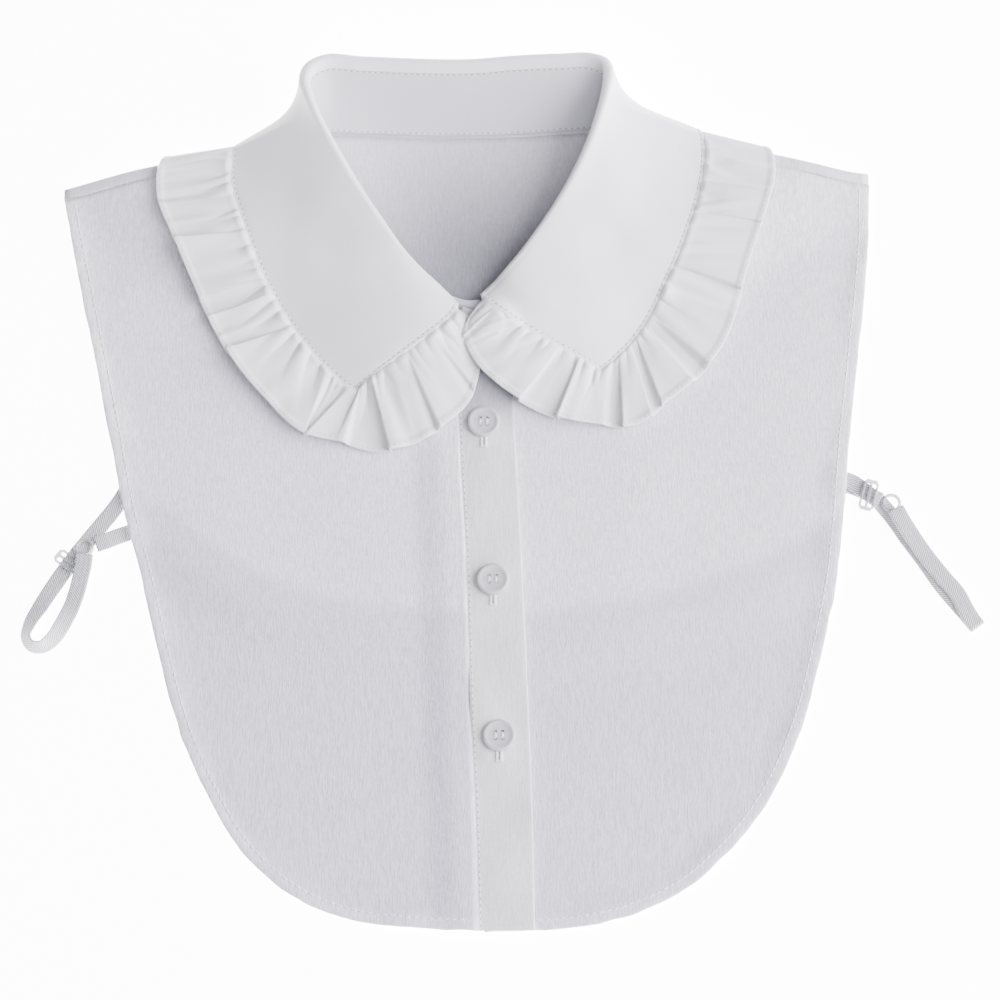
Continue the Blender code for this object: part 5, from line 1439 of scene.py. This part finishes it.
def turned(profile, steps, closed=False):
    """A profile of radii and heights, turned full circle."""
    bm = bmesh.new()
    verts = [bm.verts.new((r, 0.0, z)) for r, z in profile]
    ends = verts[1:] + verts[:1] if closed else verts[1:]
    edges = [bm.edges.new(pair) for pair in zip(verts, ends)]
    bmesh.ops.spin(
        bm, geom=verts + edges, axis=(0, 0, 1), angle=2 * math.pi, steps=steps, use_merge=True
    )
    bmesh.ops.remove_doubles(bm, verts=bm.verts, dist=0.001)
    bmesh.ops.recalc_face_normals(bm, faces=bm.faces)
    return bm


def button_shape():
    """A flat button with a rounded rim, a dished middle and four holes."""
    top, floor, dish, rim = BUTTON_THICK, BUTTON_THICK - BUTTON_DEEP, BUTTON_DISH, BUTTON_RADIUS
    profile = (
        (0.0, floor), (dish - 1.4, floor), (dish - 0.6, floor + 0.1), (dish, top - 0.08),
        (dish + 0.4, top), (rim - 0.7, top - 0.05), (rim - 0.2, top - 0.35), (rim, top - 0.9),
        (rim - 0.1, 0.6), (rim - 0.7, 0.1), (rim - 1.4, 0.0), (0.0, 0.0),
    )
    blank = to_scene("button_blank", turned(profile, 56))
    drill = bmesh.new()
    sizes = {"radius1": BUTTON_HOLE, "radius2": BUTTON_HOLE, "depth": 8.0}
    for x in (-0.5, 0.5):
        for y in (-0.5, 0.5):
            made = bmesh.ops.create_cone(drill, cap_ends=True, segments=20, **sizes)["verts"]
            bmesh.ops.translate(drill, vec=(x * BUTTON_PITCH, y * BUTTON_PITCH, 1.0), verts=made)
    cutter = to_scene("button_drill", drill)
    cut = blank.modifiers.new("holes", "BOOLEAN")
    cut.operation = "DIFFERENCE"
    cut.object = cutter
    bpy.context.view_layer.update()
    mesh = bpy.data.meshes.new_from_object(blank.evaluated_get(bpy.context.evaluated_depsgraph_get()))
    for thing in (blank, cutter):
        bpy.data.objects.remove(thing)
    return mesh


def thread_bar(bm, start, end, radius, bow):
    """One strand of thread in a low arch between two points."""
    steps, around = 8, 8
    rings = []
    along = (end - start).normalized()
    side = Vector((0, 0, 1)).cross(along).normalized()
    for k in range(steps + 1):
        t = k / steps
        middle = start.lerp(end, t) + Vector((0, 0, bow * math.sin(math.pi * t)))
        slope = Vector((0, 0, bow * math.pi * math.cos(math.pi * t))) / (end - start).length
        up = side.cross(-(along + slope).normalized()).normalized()
        ring = bmesh.ops.create_circle(bm, segments=around, radius=radius, cap_ends=False)["verts"]
        bmesh.ops.transform(bm, matrix=stretched(side, up, side.cross(up), middle), verts=ring)
        rings.append(ring)
    for a, b in zip(rings, rings[1:]):
        edges = {e for v in a + b for e in v.link_edges if e.other_vert(v) in a + b}
        bmesh.ops.bridge_loops(bm, edges=[e for e in edges if len(e.link_faces) < 2])


def smooth_by_angle(thing, degrees):
    """Keeps edges sharper than an angle crisp, and shades the rest smooth."""
    mesh = thing.data
    mesh.polygons.foreach_set("use_smooth", [True] * len(mesh.polygons))
    mesh.set_sharp_from_angle(angle=math.radians(degrees))


def buttons():
    """Three buttons down the placket and one on the stand, each sewn on with two bars of thread."""
    mesh = button_shape()
    on_placket = CLOTH / 2 + SEAM + PLACKET_CLOTH + SEAM - BUTTON_PULL
    places = []
    for i, (x, y) in enumerate(PLACKET_BUTTONS):
        places.append(("button_%d" % (i + 1), (x, y, front_level(x, y) + on_placket), 0.0))
    places.append(("button_collar", COLLAR_BUTTON, COLLAR_BUTTON_TILT))
    for name, place, tilt in places:
        move = Matrix.Translation(Vector(place)) @ Matrix.Rotation(math.radians(tilt), 4, "X")
        bm = bmesh.new()
        bm.from_mesh(mesh)
        bmesh.ops.transform(bm, matrix=move, verts=bm.verts)
        thing = finish_mesh(name + "_resin", bm, RESIN, smooth=False)
        smooth_by_angle(thing, 35.0)
        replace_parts(thing, name)
        bm = bmesh.new()
        foot = BUTTON_THICK - BUTTON_DEEP - STRAND_SUNK
        for x in (-0.5, 0.5):
            for shift in STRAND_SHIFTS:
                start = Vector((x * BUTTON_PITCH + shift, -BUTTON_PITCH / 2, foot))
                end = Vector((x * BUTTON_PITCH + shift, BUTTON_PITCH / 2, foot))
                thread_bar(bm, start, end, STRAND_RADIUS, STRAND_BOW)
        bmesh.ops.transform(bm, matrix=move, verts=bm.verts)
        finish_mesh(name + "_thread", bm, THREAD)


def sized(middle, size):
    """A transform that gives a shape its middle and its size along each axis."""
    return Matrix.LocRotScale(Vector(middle), None, Vector(size))


def buttonholes():
    """The lower end of each buttonhole, which shows below its button: worked bars and a slit of painted
    shade.
    """
    for i, (x, y) in enumerate(PLACKET_BUTTONS):
        bm, slit_shade = bmesh.new(), bmesh.new()
        top, bottom = y - HOLE_END[0], y - BUTTON_RADIUS - HOLE_END[1]
        for k in range(SIDE_STITCHES + 1):
            at = top + (bottom - top) * k / SIDE_STITCHES
            level = placket_level(x, at)
            level += placket_ripple(x, at) + PLACKET_WALL / 2
            for side in (-SIDE_GAP, SIDE_GAP):
                stamp(bm, PAD, sized((x + side, at, level + THREAD_ABOVE), SIDE_STITCH))
        for k in range(END_STITCHES):
            across = x + (k - END_STITCHES // 2) * END_PITCH
            stamp(bm, PAD, sized((across, bottom - END_DROP, level + THREAD_ABOVE), END_STITCH))
        finish_mesh("buttonhole_%d_thread" % (i + 1), bm, THREAD)
        size = (SLIT_HALF, (top - bottom) / 2, SLIT_DEEP)
        place = sized((x, (top + bottom) / 2, level + SLIT_ABOVE), size)
        bmesh.ops.create_cube(slit_shade, size=2.0, matrix=place)
        finish_mesh("buttonhole_%d_slit" % (i + 1), slit_shade, SHADE, smooth=False)


def tape(name, table):
    """A flat elastic tape along its middle line, raised on one edge where it is tilted."""
    table = [(*row, 0.0, 0)[:4] for row in table]
    line = Rail([(x, y, z + TAPE_THICK / 2) for x, y, z, tilt in table])
    columns = (len(table) - 1) * TAPE_STEPS
    cloth = Cloth(columns, len(TAPE_MARKS) - 1)
    before = None
    for column in range(columns + 1):
        row = column / TAPE_STEPS
        along = line.at_row(min(row + 0.3, len(table) - 1)) - line.at_row(max(row - 0.3, 0))
        across = Vector((-along.y, along.x, 0.0)) / along.length
        if across.length < 0.5 and before:
            across = before.copy()
        across.normalize()
        if before and across.dot(before) < 0:
            across.negate()
        i = min(int(row), len(table) - 2)
        tilt = math.radians(table[i][3] + (table[i + 1][3] - table[i][3]) * (row - i))
        raised = Vector((0, 0, TAPE_WIDTH / 2 * math.sin(tilt)))
        middle = line.at_row(row) + raised
        wide = across * math.cos(tilt) + raised * 2 / TAPE_WIDTH
        before = across
        for j, (share, wall) in enumerate(TAPE_MARKS):
            cloth.points[column][j] = middle + wide * (share - 0.5) * TAPE_WIDTH
            cloth.thick[column][j] = wall
    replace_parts(cloth.build(name + "_woven", ELASTIC), name)


def ring(name, place):
    """A clear plastic ring lying flat, with a round section."""
    half_wide, half_tall = (RING_RADIUS - RING_HOLE) / 2, RING_THICK / 2
    middle = (RING_RADIUS + RING_HOLE) / 2
    profile = []
    for k in range(RING_SECTION):
        turn = 2 * math.pi * k / RING_SECTION
        profile.append((middle + half_wide * math.cos(turn), half_tall + half_tall * math.sin(turn)))
    bm = turned(profile, 40, closed=True)
    bmesh.ops.translate(bm, vec=place, verts=bm.verts)
    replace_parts(finish_mesh(name + "_clear", bm, CLEAR), name)


def slider(name, place, turn):
    """A clear plastic slider: an oblong frame with a middle bar, all edges rounded."""
    across = (-SLIDER_LONG / 2, -SLOT_LONG / 2, SLOT_LONG / 2, SLIDER_LONG / 2)
    bar, slot = SLOT_BAR / 2, SLOT_BAR / 2 + SLOT_WIDE
    down = (-SLIDER_WIDE / 2, -slot, -bar, bar, slot, SLIDER_WIDE / 2)
    columns, rows = len(across) - 1, len(down) - 1
    bm = bmesh.new()
    bmesh.ops.create_grid(bm, x_segments=columns, y_segments=rows, size=0.5)
    for v in bm.verts:
        column, row = round((v.co.x + 0.5) * columns), round((v.co.y + 0.5) * rows)
        corner = column in (0, columns) and row in (0, rows)
        x, y = across[column], down[row]
        shorter = SLIDER_CORNER if corner else 0.0
        v.co = (x - math.copysign(shorter, x), y - math.copysign(shorter / 2, y), 0.0)
    middles = {face: face.calc_center_median() for face in bm.faces}
    slots = [face for face, p in middles.items() if abs(p.x) < 1.0 and bar < abs(p.y) < slot]
    bmesh.ops.delete(bm, geom=slots, context="FACES")
    bmesh.ops.solidify(bm, geom=bm.faces[:], thickness=SLIDER_THICK)
    lowest = min(v.co.z for v in bm.verts)
    bmesh.ops.translate(bm, vec=(0, 0, -lowest), verts=bm.verts)
    sharp = [e for e in bm.edges if e.calc_face_angle(0.0) > 0.8]
    rounding = {"offset": SLIDER_ROUND, "offset_type": "OFFSET", "segments": 3, "profile": 0.5}
    bmesh.ops.bevel(bm, geom=sharp, affect="EDGES", material=-1, **rounding)
    turned_by = Matrix.Rotation(math.radians(turn), 3, "Z")
    bmesh.ops.rotate(bm, cent=(0, 0, 0), matrix=turned_by, verts=bm.verts)
    bmesh.ops.translate(bm, vec=place, verts=bm.verts)
    bmesh.ops.recalc_face_normals(bm, faces=bm.faces)
    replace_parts(finish_mesh(name + "_clear", bm, CLEAR), name)


def table_top():
    """The plain table that the collar lies on."""
    bm = bmesh.new()
    bmesh.ops.create_grid(bm, x_segments=8, y_segments=8, size=TABLE_HALF)
    floor = to_scene("table", bm)
    floor.data.materials.append(floor_paint())


def disk_light(name, toward, size, energy):
    """A round soft light that shines at the part from one side. Size in metres, energy in watts."""
    light = bpy.data.lights.new(name, "AREA")
    light.shape = "DISK"
    light.size = size
    light.energy = energy
    light.color = COOL_LIGHT
    lamp = bpy.data.objects.new(name, light)
    bpy.context.scene.collection.objects.link(lamp)
    side = Vector(toward).normalized()
    lamp.location = side * LIGHT_DISTANCE
    lamp.rotation_mode = "QUATERNION"
    lamp.rotation_quaternion = side.to_track_quat("Z", "Y")


def studio_glow():
    """Faint even light from all round."""
    world = bpy.data.worlds.new("studio")
    world.use_nodes = True
    background = world.node_tree.nodes["Background"]
    background.inputs["Color"].default_value = (1.0, 1.0, 1.0, 1.0)
    background.inputs["Strength"].default_value = WORLD_GLOW
    bpy.context.scene.world = world


def camera():
    """The camera that looks down on the table from the front."""
    data = bpy.data.cameras.new("camera")
    data.sensor_width = SENSOR
    data.lens = SENSOR * CAMERA_DISTANCE / CAMERA_ACROSS
    eye = bpy.data.objects.new("camera", data)
    bpy.context.scene.collection.objects.link(eye)
    rise = math.radians(CAMERA_RISE)
    backward = Vector((0.0, -math.cos(rise), math.sin(rise)))
    eye.location = (Vector(CAMERA_AIM) + backward * CAMERA_DISTANCE) * MM
    eye.rotation_mode = "QUATERNION"
    eye.rotation_quaternion = backward.to_track_quat("Z", "Y")
    bpy.context.scene.camera = eye


back = back_panel()
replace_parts(back, "back_panel")
right_front = front_panel("front_right_cloth", -1)
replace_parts(right_front, "front_right")
left_front = front_panel("front_left_cloth", 1)
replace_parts(left_front, "front_left")
band = placket()
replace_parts(band, "placket")
collar()
ruffle()
buttons()
buttonholes()
for name, table in (
    ("strap_back_left", STRAP_BACK_LEFT), ("strap_front_left", STRAP_FRONT_LEFT),
    ("strap_back_right", STRAP_BACK_RIGHT), ("strap_front_right", STRAP_FRONT_RIGHT),
):
    tape(name, table)
ring("ring_left", RING_LEFT)
ring("ring_right", RING_RIGHT)
slider("slider_left", *SLIDER_LEFT)
slider("slider_right", *SLIDER_RIGHT)

table_top()
studio_glow()
disk_light("soft_key", *KEY_LIGHT)
disk_light("fill", *FILL_LIGHT)
camera()

bpy.context.view_layer.update()
